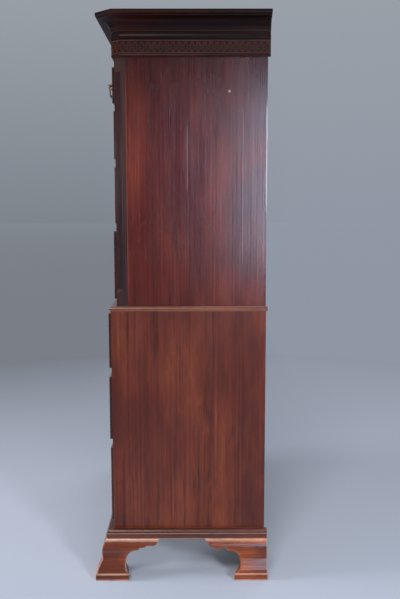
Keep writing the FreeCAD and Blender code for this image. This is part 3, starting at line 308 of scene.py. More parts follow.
# For each slot: which way its fibres run, its dark, middle and light tones, and its sheen.
FINISHES = {
    "lower_case_mahogany": polished_mahogany(
        "lower_side_mahogany", "Z", "#3c150d", "#5b2013", "#73341a", 0.34, coat=0.35),
    "upper_case_mahogany": polished_mahogany(
        "upper_side_mahogany", "Z", "#3b110a", "#57180f", "#732b16", 0.19, coat=0.52, marks=side_marks_and_painted_light),
    "post_mahogany": polished_mahogany(
        "corner_post_mahogany", "Z", "#200d0a", "#301411", "#3c1b16", 0.28, rub=0.3),
    "frieze_mahogany": polished_mahogany(
        "frieze_mahogany", "X", "#1c0808", "#2e0e0b", "#401610", 0.38, UPPER_CORNER, rub=0.25, coat=0.14),
    # The cornice's tones are far darker than the rest of the mahogany: painted shade under its overhang.
    "cornice_mahogany": polished_mahogany(
        "cornice_mahogany", "X", "#0e0505", "#190908", "#2b0d0a", 0.38, UPPER_CORNER, rub=0.03, coat=0.10),
    "waist_mahogany": polished_mahogany(
        "waist_mahogany", "X", "#431b0e", "#6c351f", "#85462b", 0.30, LOWER_CORNER, rub=0.36),
    "base_mahogany": polished_mahogany(
        "base_mahogany", "X", "#35160d", "#592717", "#723720", 0.30, LOWER_CORNER, rub=0.45),
    "foot_mahogany": polished_mahogany(
        "foot_mahogany", "X", "#33140b", "#74300f", "#d0600c", 0.24, LOWER_CORNER, rub=0.6),
    "front_mahogany": polished_mahogany(
        "drawer_front_mahogany", "X", "#471a10", "#6a2a19", "#874223", 0.28, figure=0.5),
    "rail_mahogany": polished_mahogany("rail_mahogany", "X", "#36140e", "#5c271b", "#723521", 0.30),
    "oak": dry_wood("oak_linings", "Y", "#7a5836", "#9c7849", 0.007),
    "pine": dry_wood("pine_boards", "Z", "#6f4d2e", "#8f6b43", 0.009),
    "pine_top": dry_wood("pine_top_board", "X", "#6f4d2e", "#8f6b43", 0.009),
    "brass": cast_brass("lacquered_brass"),
}


def dress_nodes():
    """Each CAD node takes the finish of the slot that its material is named for.  The back boards stand
    upright, and the grain of the pine top board runs from side to side."""
    for name, piece in frame["nodes"].items():
        for holder in piece.material_slots:
            slot = holder.material.name.split(".")[0]
            holder.material = FINISHES["pine_top" if name == "upper_top_board" else slot]


# ---------------------------------------------------------------------------
# Stage: a pale floor that fades into a cool grey backdrop.

BACKDROP_LOW = "#797e87"
BACKDROP_RIGHT = "#8f96a4"
BACKDROP_HIGH = "#99a0a8"
FLOOR_PALE = "#b9c2d2"
PLAIN_LIGHT = "#c9ced8"
DARK_SIDE = 0.3            # how much of the backdrop's light the dark side of the studio gives back


def make_world():
    """Cameras see the backdrop; polish and brass see it too, dimmed towards the dark side of the studio,
    where the lamps stand; every other ray brings plain, even light."""
    world = bpy.data.worlds.new("studio")
    bpy.context.scene.world = world
    world.use_nodes = True
    world.node_tree.nodes.clear()
    put = partial(add, world.node_tree)
    towards = put("TexCoord", {}, out=0)
    x, y, z = (put("SeparateXYZ", {0: towards}, out=number) for number in (0, 1, 2))
    across = put("MapRange", {"Value": y, "From Min": -0.12, "From Max": 0.12})
    low = put("Mix", {0: across, 6: linear(BACKDROP_LOW), 7: linear(BACKDROP_RIGHT)}, out=2,
              data_type="RGBA")
    height = put("MapRange", {"Value": z, "From Min": -0.08, "From Max": 0.25})
    shade = put("Mix", {0: height, 6: low, 7: linear(BACKDROP_HIGH)}, out=2, data_type="RGBA")
    dimmed = put("MapRange", {"Value": x, "From Min": -0.3, "From Max": 0.7, "To Min": 1.0,
                              "To Max": DARK_SIDE})
    backdrop = put("Background", {"Color": shade, "Strength": 1.0})
    mirrored = put("Background", {"Color": shade, "Strength": dimmed})
    light = put("Background", {"Color": linear(PLAIN_LIGHT), "Strength": 0.23})
    rays = [put("LightPath", {}, out=name) for name in ("Is Camera Ray", "Is Glossy Ray")]
    shown = put("MixShader", {0: rays[1], 1: light, 2: mirrored})
    shown = put("MixShader", {0: rays[0], 1: shown, 2: backdrop})
    put("OutputWorld", {"Surface": shown})


def make_floor():
    """A round floor: points at radius r and angle a lie at (r cos a, r sin a, 0).  Near the chest it is lit
    and takes its shadow, and further off it fades into the colour of the backdrop."""
    radii = np.concatenate([[0.0], np.geomspace(0.4, 40.0, 12)])
    angles = np.linspace(0, 2 * math.pi, 64, endpoint=False)
    r, a = np.meshgrid(radii[1:], angles, indexing="ij")
    points = np.stack([r * np.cos(a), r * np.sin(a), 0 * r], -1).reshape(-1, 3)
    points = np.vstack([[[0.0, 0.0, 0.0]], points])
    count = len(angles)
    step = np.arange(count)
    after = (step + 1) % count
    faces = [[0, 1 + i, 1 + j] for i, j in zip(step, after)]
    for ring in range(len(radii) - 2):
        low = 1 + ring * count
        faces += [[low + i, low + count + i, low + count + j, low + j] for i, j in zip(step, after)]
    mesh = bpy.data.meshes.new("floor")
    mesh.from_pydata(points.tolist(), [], faces)
    floor = bpy.data.objects.new("floor", mesh)
    bpy.context.scene.collection.objects.link(floor)
    material, put = new_material("painted_studio_floor")
    place = put("TexCoord", {}, out=3)
    away = put("VectorMath", {0: place}, out=1, operation="LENGTH")
    fade = put("MapRange", {"Value": away, "From Min": 0.5, "From Max": 3.3})
    y = put("SeparateXYZ", {0: place}, out=1)
    across = put("MapRange", {"Value": y, "From Min": -0.8, "From Max": 0.8})
    low = put("Mix", {0: across, 6: linear(BACKDROP_LOW), 7: linear(BACKDROP_RIGHT)}, out=2,
              data_type="RGBA")
    horizon = put("MapRange", {"Value": away, "From Min": 6.0, "From Max": 36.0, "To Max": 0.24})
    low = put("Mix", {0: horizon, 6: low, 7: linear(BACKDROP_HIGH)}, out=2, data_type="RGBA")
    shade = put("Mix", {0: fade, 6: linear(FLOOR_PALE), 7: low}, out=2, data_type="RGBA")
    lit = put("BsdfPrincipled", {"Base Color": shade, "Roughness": 0.8})
    glow = put("Emission", {"Color": shade, "Strength": 1.0})
    rays = [put("LightPath", {}, out=name)
            for name in ("Is Camera Ray", "Is Glossy Ray", "Is Transmission Ray")]
    seen = put("Math", {0: rays[0], 1: rays[1]}, operation="MAXIMUM")
    seen = put("Math", {0: seen, 1: rays[2]}, operation="MAXIMUM")
    far = put("MapRange", {"Value": away, "From Min": 1.0, "From Max": 3.4})
    far = put("Math", {0: far, 1: seen}, operation="MULTIPLY")
    put("OutputMaterial", {"Surface": put("MixShader", {0: far, 1: lit, 2: glow})})
    mesh.materials.append(material)


def soft_box(name, place, aim, width, height, power, colour="#ffffff", mirrored=True):
    """A flat lamp at a place, turned to what it aims at, never seen itself; mirrored if polish shows it."""
    lamp = bpy.data.lights.new(name, "AREA")
    lamp.shape = "RECTANGLE"
    lamp.size = width
    lamp.size_y = height
    lamp.energy = power
    lamp.color = linear(colour)[:3]
    holder = bpy.data.objects.new(name, lamp)
    holder.location = place
    holder.rotation_euler = (Vector(aim) - Vector(place)).to_track_quat("-Z", "Y").to_euler()
    holder.visible_camera = False
    holder.visible_glossy = mirrored
    bpy.context.scene.collection.objects.link(holder)


def make_lights():
    """Plain soft boxes.  The front box also lights the floor under the case, and the high box stands far off
    beside the camera.  The post, window and strip boxes are the sheens on the posts and the upper side."""
    soft_box("front_box", (0.6, -4.2, 1.40), (0, 0, 0.3), 1.6, 0.4, 150, mirrored=False)
    soft_box("right_box", (4.0, 2.2, 1.9), (0.3, 0, 0.4), 0.7, 0.7, 100, mirrored=False)
    soft_box("post_box", (0.6, -4.0, 1.50), (0.5, 0, 1.4), 1.2, 0.5, 5, "#e8ecff")
    soft_box("high_box", (5.7, -1.3, 6.3), (0.5, 0, 0.4), 2.0, 2.0, 220)
    soft_box("fill_box", (2.7, -1.1, 0.5), (0.5, 0, 0.8), 1.6, 0.6, 8, "#fff6f0", mirrored=False)
    soft_box("window_box", (4.5, 0.95, 1.45), (0.5, 0.3, 1.3), 0.8, 1.5, 38, "#bfe0ff")
    soft_box("strip_box", (4.5, -0.05, 1.70), (0.5, 0.0, 1.5), 0.22, 1.1, 0.7, "#dcd0ff")
    soft_box("top_box", (0, 0, 4.5), (0, 0, 0), 3.0, 3.0, 40)
    soft_box("back_box", (-3.0, 2.6, 2.6), (0, 0, 1), 2.4, 1.8, 25)


# ---------------------------------------------------------------------------
# Shapes: rings of points, skinned.


def skin(rings, closed=False):
    """Quads from each ring of points to the next; closed joins the last ring to the first, otherwise
    each end gets a flat cap.  rings is (rings, points round a ring, 3)."""
    count, around = rings.shape[:2]
    last = count if closed else count - 1
    row, column = np.meshgrid(np.arange(last), np.arange(around), indexing="ij")
    below, beside = (row + 1) % count, (column + 1) % around
    quads = np.stack([row * around + column, row * around + beside, below * around + beside,
                      below * around + column], -1).reshape(-1, 4)
    faces = quads.tolist()
    if not closed:
        faces += [np.arange(around)[::-1].tolist(), ((count - 1) * around + np.arange(around)).tolist()]
    return rings.reshape(-1, 3), faces


def piece(name, skins, body, slot, sharp=35, stands_for=()):
    """One mesh of several skins, shaded smooth but for edges that turn by more than sharp degrees, riding on
    a body in place of the nodes that it stands for.  A skin may have a third part: how worn each point is,
    with a painted highlight on the feet's shoulders counted in as wear."""
    points, faces, wear_and_highlight, start = [], [], [], 0
    for spots, polygons, *worn in skins:
        points.append(spots)
        wear_and_highlight.append(worn[0] if worn else np.zeros(len(spots)))
        faces += [[start + corner for corner in polygon] for polygon in polygons]
        start += len(spots)
    mesh = bpy.data.meshes.new(name)
    mesh.from_pydata(np.concatenate(points).tolist(), [], faces)
    facing = bmesh.new()
    facing.from_mesh(mesh)
    bmesh.ops.recalc_face_normals(facing, faces=facing.faces)
    facing.to_mesh(mesh)
    facing.free()
    mesh.attributes.new("wear_and_highlight", "FLOAT", "POINT").data.foreach_set("value", np.concatenate(wear_and_highlight))
    mesh.polygons.foreach_set("use_smooth", np.ones(len(mesh.polygons), bool))
    mesh.set_sharp_from_angle(angle=math.radians(sharp))
    mesh.materials.append(FINISHES[slot])
    made = bpy.data.objects.new(name, mesh)
    bpy.context.scene.collection.objects.link(made)
    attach(made, body)
    if stands_for:
        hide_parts(*stands_for)


def circle(count):
    """The cosines and sines of directions spread evenly round a circle."""
    turn = np.linspace(0, 2 * math.pi, count, endpoint=False)
    return np.cos(turn), np.sin(turn)


def turned_forward(profile, centre, sides=32):
    """A profile of (radius, distance ahead) turned on a line that runs forward from centre."""
    across, up = circle(sides)
    radius, ahead = np.array(profile).T
    return skin(np.stack([centre[0] + radius[:, None] * across, centre[1] - ahead[:, None] + 0 * across,
                          centre[2] + radius[:, None] * up], -1))


def through(points, steps):
    """A smooth line through points: on each span the cubic of Catmull and Rom in the four points round it,
    taken at evenly spaced t from 0 to 1."""
    spots = np.array(points, float)
    padded = np.vstack([2 * spots[0] - spots[1], spots, 2 * spots[-1] - spots[-2]])
    t = np.linspace(0, 1, steps, endpoint=False)[None, :, None]
    before, start, end, after = (padded[i:len(padded) - 3 + i, None, :] for i in range(4))
    spans = 0.5 * (2 * start + (end - before) * t + (2 * before - 5 * start + 4 * end - after) * t ** 2
                   + (3 * start - before - 3 * end + after) * t ** 3)
    return np.vstack([spans.reshape(-1, spots.shape[1]), spots[-1:]])


# ---------------------------------------------------------------------------
# Brasses: swan-neck handles with turned posts, keyhole plates and drawer locks.  Turned profiles are
# (radius, distance ahead), and BAIL_LINE and PIN are (across, up, radius), all in millimetres.

POST_PROFILE = [(12.5, 0), (12.5, 0.8), (11.9, 1.3), (10.6, 1.4), (10.0, 1.9), (7.4, 2.3), (5.4, 3.0),
                (4.5, 4.2), (3.5, 5.0), (3.0, 6.6), (3.0, 9.2), (3.4, 10.3), (4.3, 10.8), (4.3, 11.5),
                (3.7, 12.0), (4.6, 13.2), (5.0, 14.8), (5.0, 18.6), (4.6, 20.4), (3.4, 21.5), (1.6, 21.9),
                (0.02, 22.0)]
POST_REACH = 22 * MM       # how far a post stands out from its drawer's face
POST_SPAN = 80 * MM
NUT_PROFILE = [(0.02, -25.2), (3.0, -25.2), (4.6, -24.6), (5.2, -23.6), (5.2, -22.2), (4.6, -22.0)]
BAIL_LINE = [(0, -32, 3.6), (14, -31.8, 3.5), (27, -30.8, 3.0), (35.5, -27.6, 2.4), (40, -22.6, 2.3),
             (44.5, -16.8, 2.3), (49.6, -12.2, 2.3), (52.4, -7.2, 2.3), (51.4, -2.6, 2.4), (48.6, -0.3, 2.5),
             (46.2, 0, 2.5)]
PIN = [(46.0, 0, 1.6), (37.5, 0, 1.6)]
PIN_LINE = 2.5 * MM        # from the top of a bail's box down to the line of its pins
RIVET_PROFILE = [(0.02, -1.0), (1.2, -0.8), (2.0, -0.3), (2.0, 0.2)]
KEYHOLE_ROUND = 2.3        # radius of the keyhole's circle
KEYHOLE_SLOT = 1.15        # half the width of the slot below it
KEYHOLE_FOOT = 6.5         # how far the slot reaches below the circle's centre
KEYHOLE_PLATE = ((1.6, 0.3), (1.6, -0.5), (1.2, -0.9), (0.2, -0.9), (0, -0.6), (0, 0.3))
KEYHOLE_DROP = 24 * MM     # from the top of a lock down to the middle of its keyhole
KEYHOLE_RISE = 2.2 * MM    # from there up to the circle's centre
LOCK_HALF = 32 * MM
LOCK_DEEP = 10 * MM
LOCK_TALL = 46 * MM
LOCK_PLATE = ((0, -2), (0.3, 0))
LOCK_CASE = ((0, -1), (0, 0.9), (0.8, 1.5))
CASE_BORDER = (16, 14)     # how much narrower and lower the raised case is than the plate
RIVET_INSET = 4


def bail(middle, name, body, node):
    """A cast bail: circles of changing radius, each square to a line that bends down, sweeps in and meets in
    the grip."""
    half = through(BAIL_LINE, 6)
    line = np.vstack([PIN[::-1], half[::-1], (half * [-1, 1, 1])[1:], np.array(PIN) * [-1, 1, 1]])
    x, z, radius = line.T
    run = np.gradient(line[:, :2], axis=0)
    run[[0, 1, 2, -3, -2, -1]] = [-1, 0]      # the pins and the bail's ends lie straight across
    run /= np.linalg.norm(run, axis=1, keepdims=True)
    out, forward = circle(16)
    rings = np.stack([x[:, None] - run[:, 1:] * radius[:, None] * out, -radius[:, None] * forward,
                      z[:, None] + run[:, :1] * radius[:, None] * out], -1) * MM
    piece(name, [skin(rings + np.array(middle))], body, "brass", sharp=50, stands_for=[node])


def keyhole_line(count, grow):
    """A keyhole round its circle's centre: in each direction as far as the circle, or as the slot below it
    where that reaches further; both are grown by the same margin."""
    turn = np.linspace(0, 2 * math.pi, count, endpoint=False)
    aside, down = np.abs(np.sin(turn)), np.maximum(np.cos(turn), 1e-6)
    slot = np.minimum((KEYHOLE_SLOT + grow) / np.maximum(aside, 1e-6), (KEYHOLE_FOOT + grow) / down)
    reach = np.maximum(KEYHOLE_ROUND + grow, np.where(np.cos(turn) > 0, slot, 0)) * MM
    return np.stack([reach * np.sin(turn), 0 * turn, -reach * np.cos(turn)], -1)


def keyhole_plate(centre):
    """A thin raised rim that follows the keyhole: keyholes, each grown and set back by its own amount."""
    loops = [keyhole_line(72, grow) + [0, behind * MM, 0] for grow, behind in KEYHOLE_PLATE]
    return skin(np.array(loops) + np.array(centre), closed=True)


def rounded_plate(centre, wide, high, levels, radius=1.5):
    """A plate square to Y: rounded rectangles, each drawn in by its own inset, at distances behind centre."""
    across, up = circle(32)
    rings = []
    for inset, behind in levels:
        keep = np.array([wide / 2 - radius, high / 2 - radius]) - inset
        rings.append(np.stack([np.sign(across) * keep[0] + radius * across, behind + 0 * across,
                               np.sign(up) * keep[1] + radius * up], -1))
    return skin(np.array(rings) * MM + np.array(centre))


def drawer_lock(low, high, behind):
    """A drawer lock, let in flush behind the front: plate, raised case and four rivets."""
    middle = (low + high) / 2
    wide, deep, tall = (high - low) / MM
    centre = np.array([middle[0], behind, middle[2]])
    plate = rounded_plate(centre, wide, tall, [(0, -deep), *LOCK_PLATE])
    case = rounded_plate(centre, wide - CASE_BORDER[0], tall - CASE_BORDER[1], LOCK_CASE)
    corner = np.array([wide / 2 - RIVET_INSET, tall / 2 - RIVET_INSET]) * MM
    rivets = [turned_forward(np.array(RIVET_PROFILE) * MM, centre + [sx * corner[0], 0, sz * corner[1]], 12)
              for sx in (-1, 1) for sz in (-1, 1)]
    return [plate, case] + rivets


def drawer_brasses(name):
    """All the brass that stays on one drawer's front, and its two bails."""
    low, high = (np.array(corner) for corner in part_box(f"{name}_brasses"))
    face = low[1] + POST_REACH
    skins = []
    for side in ("left", "right"):
        near, far = (np.array(corner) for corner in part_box(f"{name}_bail_{side}"))
        middle = np.array([(near[0] + far[0]) / 2, (near[1] + far[1]) / 2, far[2] - PIN_LINE])
        for hand in (-1, 1):
            centre = (middle[0] + hand * POST_SPAN / 2, face, middle[2])
            skins.append(turned_forward(np.array(POST_PROFILE) * MM, centre))
            skins.append(turned_forward(np.array(NUT_PROFILE) * MM, centre, 6))
        bail(middle, f"{name}_swan_neck_{side}", f"{name}_bail_{side}", f"{name}_bail_{side}")
    key = np.array([(low[0] + high[0]) / 2, face, high[2] - KEYHOLE_DROP + KEYHOLE_RISE])
    skins.append(keyhole_plate(key))
    lock_low = np.array([key[0] - LOCK_HALF, high[1] - LOCK_DEEP, high[2] - LOCK_TALL])
    lock_high = np.array([key[0] + LOCK_HALF, high[1], high[2]])
    skins += drawer_lock(lock_low, lock_high, high[1])
    piece(f"{name}_brasswork", skins, name, "brass", sharp=40, stands_for=[f"{name}_brasses"])


# ---------------------------------------------------------------------------
# Mouldings: a profile carried round the case and mitred at its corners.

ARRIS = 0.9                # millimetres that a corner is cut back on either side,
ARRIS_SHARE = 0.3          # but at most this share of the way to the next corner
EASE_FAR = 3               # the points further off: so many times as far from the corner,
EASE_SHARE = 0.45          # but at most this share of the way
WORN_FROM = 0.35           # a corner is worn if it turns outwards by more than this, in radians,
WORN_RANGE = 0.9           # and fully worn if it turns by this much more
EASED_WORN = (0, 0.9, 1, 0.9, 0)   # how worn the points of an eased corner are, from one side to the other
LEDGE = -14                # a point that reaches in by more than half of this lies on the second plan
VENEER = 0.6 * MM


def arc(start, end, radius, steps=8):
    """Points from start to end round a circle: start turned about the centre; a positive radius swells to
    the right of the way from start to end and a negative one is hollow there."""
    s, e = complex(*start), complex(*end)
    half = math.copysign(math.asin(abs(e - s) / 2 / abs(radius)), radius)
    centre = (s + e) / 2 + 1j * (e - s) / 2 / math.tan(half)
    spots = centre + (s - centre) * np.exp(2j * half * np.linspace(0, 1, steps + 1)[1:])
    return list(zip(spots.real, spots.imag))


def drawn(corners):
    """A line through corners; the way to a corner with a third number is an arc of that radius."""
    line = [corners[0]]
    for corner in corners[1:]:
        line += arc(line[-1], corner[:2], corner[2]) if len(corner) == 3 else [corner]
    return np.array(line, float)


def eased(line, reach=ARRIS):
    """Every corner of a closed line cut back to both sides and rounded between, with a point further off on
    either side; and how worn it is at each: by how sharply the corner turns outwards."""
    before, after = line - np.roll(line, 1, 0), np.roll(line, -1, 0) - line
    run_in, run_out = (np.linalg.norm(way, axis=1, keepdims=True) for way in (before, after))
    near, far = (reach, ARRIS_SHARE), (reach * EASE_FAR, EASE_SHARE)
    far_back, back = (line - before / run_in * np.minimum(span, run_in * part) for span, part in (far, near))
    ahead, far_ahead = (line + after / run_out * np.minimum(span, run_out * part)
                        for span, part in (near, far))
    middle = (line * 2 + back + ahead) / 4
    turn = np.arctan2(before[:, 0] * after[:, 1] - before[:, 1] * after[:, 0], (before * after).sum(1))
    worn = np.clip((turn - WORN_FROM) / WORN_RANGE, 0, 1)
    rounded = np.stack([far_back, back, middle, ahead, far_ahead], 1).reshape(-1, 2)
    return rounded, (worn[:, None] * EASED_WORN).reshape(-1)


def mitred(plan, corners, level, ledge=None, reach=ARRIS):
    """A closed profile of corners (reach, up) in millimetres carried along a plan: each of its points moves
    out from a corner of the plan by its reach times (n1 + n2) / (1 + n1 n2), for the normals n1 and n2 of
    the lengths that meet there.  Points that reach far in lie on a second plan, the ledge, instead."""
    line, worn = eased(drawn(corners), reach)
    plan = np.array(plan)
    way = np.diff(plan, axis=0)
    way /= np.linalg.norm(way, axis=1, keepdims=True)
    normal = np.stack([way[:, 1], -way[:, 0]], -1)
    first, second = np.vstack([normal[:1], normal]), np.vstack([normal, normal[-1:]])
    mitre = (first + second) / (1 + (first * second).sum(1, keepdims=True))
    flat = plan[:, None] + line[None, :, :1] * MM * mitre[:, None]
    if ledge is not None:
        flat = np.where(line[None, :, :1] < LEDGE / 2, np.array(ledge)[:, None], flat)
    rings = np.dstack([flat, np.broadcast_to(level + line[:, 1] * MM, flat.shape[:2])])
    return *skin(rings), np.tile(worn, len(plan))


def square_plan(half, front, back):
    """Round a case from its back left corner: left side, front and right side."""
    return [(-half, back), (-half, front), (half, front), (half, back)]


def canted_plan(half, front, back, cant):
    """The same for a case whose front corners are cut off."""
    return [(-half, back), (-half, front + cant), (-half + cant, front), (half - cant, front),
            (half, front + cant), (half, back)]


# Sections are (reach, up) in millimetres; a third number is the radius of the arc that leads to the corner.
FRIEZE_REACH = 5.5
RIDGE_TOP = 9
WAIST_DROP = 9
WAIST_GAP = 0.3 * MM       # between the waist moulding and the upper case that stands inside it
CORNICE = [(0, 0), (5.5, 0), (5.5, 1), (5.5, 19, 17.5), (4.5, 19), (4.5, 25), (8.5, 26.5), (8.5, 33),
           (10.5, 35), (48.5, 67.5, -40), (48.5, 70), (52, 71.5), (56.4, 74), (56.4, 84.4), (0, 84.4)]
FRIEZE = [(0, 0), (FRIEZE_REACH, 0), (8.4, 4.5, 5), (FRIEZE_REACH, RIDGE_TOP, 5), (FRIEZE_REACH, 52), (0, 52)]
WAIST = [(0, -WAIST_DROP), (2, -WAIST_DROP), (2, -7.5), (4.4, -5.5), (4.4, -2), (1, 3.5, 5), (-1.5, 3.5),
         (-1.5, 5.9), (LEDGE, 5.9), (LEDGE, 0), (0, 0)]
BASE = [(0, 0), (24, 0), (24, 19.5), (21.5, 19.5), (21.5, 22), (13.5, 30, 8), (0, 30)]


def make_facing():
    """The oak top board of the lower case is faced with mahogany veneer along its front edge."""
    low, high = (np.array(corner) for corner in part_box("lower_top_board"))
    strip = eased_block([low[0], low[1] - VENEER, low[2]], [high[0], low[1] + VENEER, high[2]], VENEER / 3)
    piece("lower_top_facing", [strip], "carcasses", "rail_mahogany")


def make_mouldings():
    """Cornice and frieze round the canted upper case, waist and base mouldings round the square lower one."""
    level = {name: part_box(name)[0][2] for name in ("cornice", "frieze", "waist_moulding", "base_moulding")}
    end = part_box("cornice")[1][1]
    upper = canted_plan(UPPER_HALF, UPPER_FRONT, end, CANT)
    lower = square_plan(LOWER_HALF, LOWER_FRONT, end)
    waist_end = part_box("waist_moulding")[1][1]
    piece("cornice_moulding", [mitred(upper, CORNICE, level["cornice"])], "carcasses", "cornice_mahogany",
          sharp=30, stands_for=["cornice"])
    piece("frieze_and_astragal", [mitred(upper, FRIEZE, level["frieze"])], "carcasses", "frieze_mahogany",
          sharp=30, stands_for=["frieze"])
    waist = mitred(square_plan(LOWER_HALF, LOWER_FRONT, waist_end), WAIST,
                   level["waist_moulding"] + WAIST_DROP * MM,
                   square_plan(UPPER_HALF + WAIST_GAP, UPPER_FRONT - WAIST_GAP, waist_end))
    piece("waist_ovolo", [waist], "carcasses", "waist_mahogany", sharp=30, stands_for=["waist_moulding"])
    piece("base_ovolo", [mitred(lower, BASE, level["base_moulding"])], "carcasses", "base_mahogany",
          sharp=30, stands_for=["base_moulding"])


# ---------------------------------------------------------------------------
# Feet: ogee brackets, each a sheet between its scrolled edge and its outer edge, on pads.  OGEE is (out from
# the case, up), the scrolls are (from the toe, up), both in millimetres, with arcs as in the sections above.

PAD_TOP = 25
FOOT_TOP = 135
TOE = 58.3                 # how far the toes reach out from the case
BRACKET_BACK = -12
OGEE = [(54, 25), (51.5, 38, 30), (38.5, 64), (36.3, 77, -20), (26.5, 131.5, 62), (24.6, 134.9, 4)]
FRONT_SCROLL = [(114, 25), (102, 43, -20), (102, 62), (131, 99.5, -37), (141, 100.5), (148, 107, 8),
                (165, 109), (173, 114), (196, 114.5), (207, 123, 14)]
BACK_SCROLL = [(110, 25), (91, 46, -24), (91, 62), (119, 97.5, -35), (131, 97.5), (141, 108.5, 11),
               (148, 109.5), (201, 122, 36)]
TIP = (213, 134.9)
SCROLL_POINTS = 44
FACE_STEPS = [0, 0.02, 0.06, 0.15, 0.3, 0.45, 0.6, 0.75, 0.9, 0.97, 1]   # from the scroll to the outer edge
FACE_EASE = 0.8            # how far the face is drawn in at the scroll
BEVEL = 0.28               # how far the edges of the scrolls are cut back behind
SCROLL_WORN = 0.22
EDGE_WORN = 0.8
TOP_WEAR_AND_HIGHLIGHT = (126, 5)        # worn, with a painted highlight, from this height up, and fully so this much higher
PLAIN_BRACKET = [(0, 25), (0, 135), (-150, 135), (-138, 105), (-50, 93), (-20, 25, 90)]
BACK_BRACKET = 18 * MM
PAD = [(0, 0), (0, 25), (-90, 25), (-90, 0)]
PAD_SIDE = 113 * MM
PAD_DEEP = 90 * MM
PAD_CUT = 62 * MM          # where the cut across the pad's inner corner starts
PAD_EASE = 2.4
BLOCK_SIDE = 20 * MM
BLOCK_WORN = (0.3, 0.3, 0.1, 0.35, 1.0, 0.8)   # how worn each ring of an eased block is, upwards


def spaced(line, count):
    """count points along a line, evenly by its length."""
    run = np.concatenate([[0], np.cumsum(np.linalg.norm(np.diff(line, axis=0), axis=1))])
    even = np.linspace(0, run[-1], count)
    return np.stack([np.interp(even, run, line[:, 0]), np.interp(even, run, line[:, 1])], -1)


def bracket(scroll, is_mitred, place):
    """An ogee bracket.  (d, z) runs in straight lines from the scroll to the outer edge, which goes up the
    mitre and along the top; out = ogee(z).  place puts (d, out, z) in the frame."""
    ogee = drawn(OGEE)
    edge = drawn(scroll)
    bend = 1 + int(np.argmin(np.abs(edge[:, 0] - scroll[3][0]) + np.abs(edge[:, 1] - scroll[3][1])))
    inner = np.vstack([spaced(edge[:bend], SCROLL_POINTS), spaced(edge[bend - 1:], SCROLL_POINTS)[1:]])
    up = np.linspace(PAD_TOP, TIP[1], SCROLL_POINTS)
    out = np.interp(up, ogee[:, 1], ogee[:, 0])
    corner = TOE - out if is_mitred else 0 * up
    top = np.linspace(corner[-1], TIP[0], SCROLL_POINTS)[1:]
    outer = np.vstack([np.stack([corner, up], -1), np.stack([top, 0 * top + TIP[1]], -1)])
    behind = outer.copy()
    if is_mitred:
        behind[:, 0] = np.maximum(behind[:, 0], TOE - BRACKET_BACK)
    share = np.array(FACE_STEPS)[:, None]
    front = inner[:, None] * (1 - share) + outer[:, None] * share
    bevelled = BEVEL + (1 - BEVEL) * share[::-1]
    rear = inner[:, None] * (1 - bevelled) + behind[:, None] * bevelled
    face = np.interp(front[..., 1], ogee[:, 1], ogee[:, 0])
    face[:, 0] -= FACE_EASE
    flat = np.concatenate([front, rear], 1)
    depth = np.concatenate([face, 0 * face + BRACKET_BACK], 1)
    rings = place(flat[..., 0] * MM, depth * MM, flat[..., 1] * MM)
    worn = np.zeros(rings.shape[:2])
    worn[:, :2] = SCROLL_WORN
    worn[:, len(share) - 1] = EDGE_WORN
    # The shoulders under the base moulding are worn, and also carry a painted highlight where light from
    # above catches them.
    worn[:, :len(share)] += np.clip((front[..., 1] - TOP_WEAR_AND_HIGHLIGHT[0]) / TOP_WEAR_AND_HIGHLIGHT[1], 0, 1)
    return *skin(rings), worn.clip(0, 1).reshape(-1)


def eased_block(low, high, ease=1.2 * MM):
    """A block with rounded edges: rounded rectangles stacked up, the first and last drawn in."""
    low, high = np.array(low), np.array(high)
    middle, half = (low + high) / 2, (high - low) / 2
    across, up = circle(24)
    levels = [(ease, low[2]), (ease * 0.3, low[2] + ease * 0.3), (0, low[2] + ease), (0, high[2] - ease),
              (ease * 0.3, high[2] - ease * 0.3), (ease, high[2])]
    rings = [np.stack([middle[0] + np.sign(across) * (half[0] - ease - inset * 0.5) + ease * across,
                       middle[1] + np.sign(up) * (half[1] - ease - inset * 0.5) + ease * up,
                       height + 0 * across], -1) for inset, height in levels]
    return *skin(np.array(rings)), np.repeat(BLOCK_WORN, len(across))


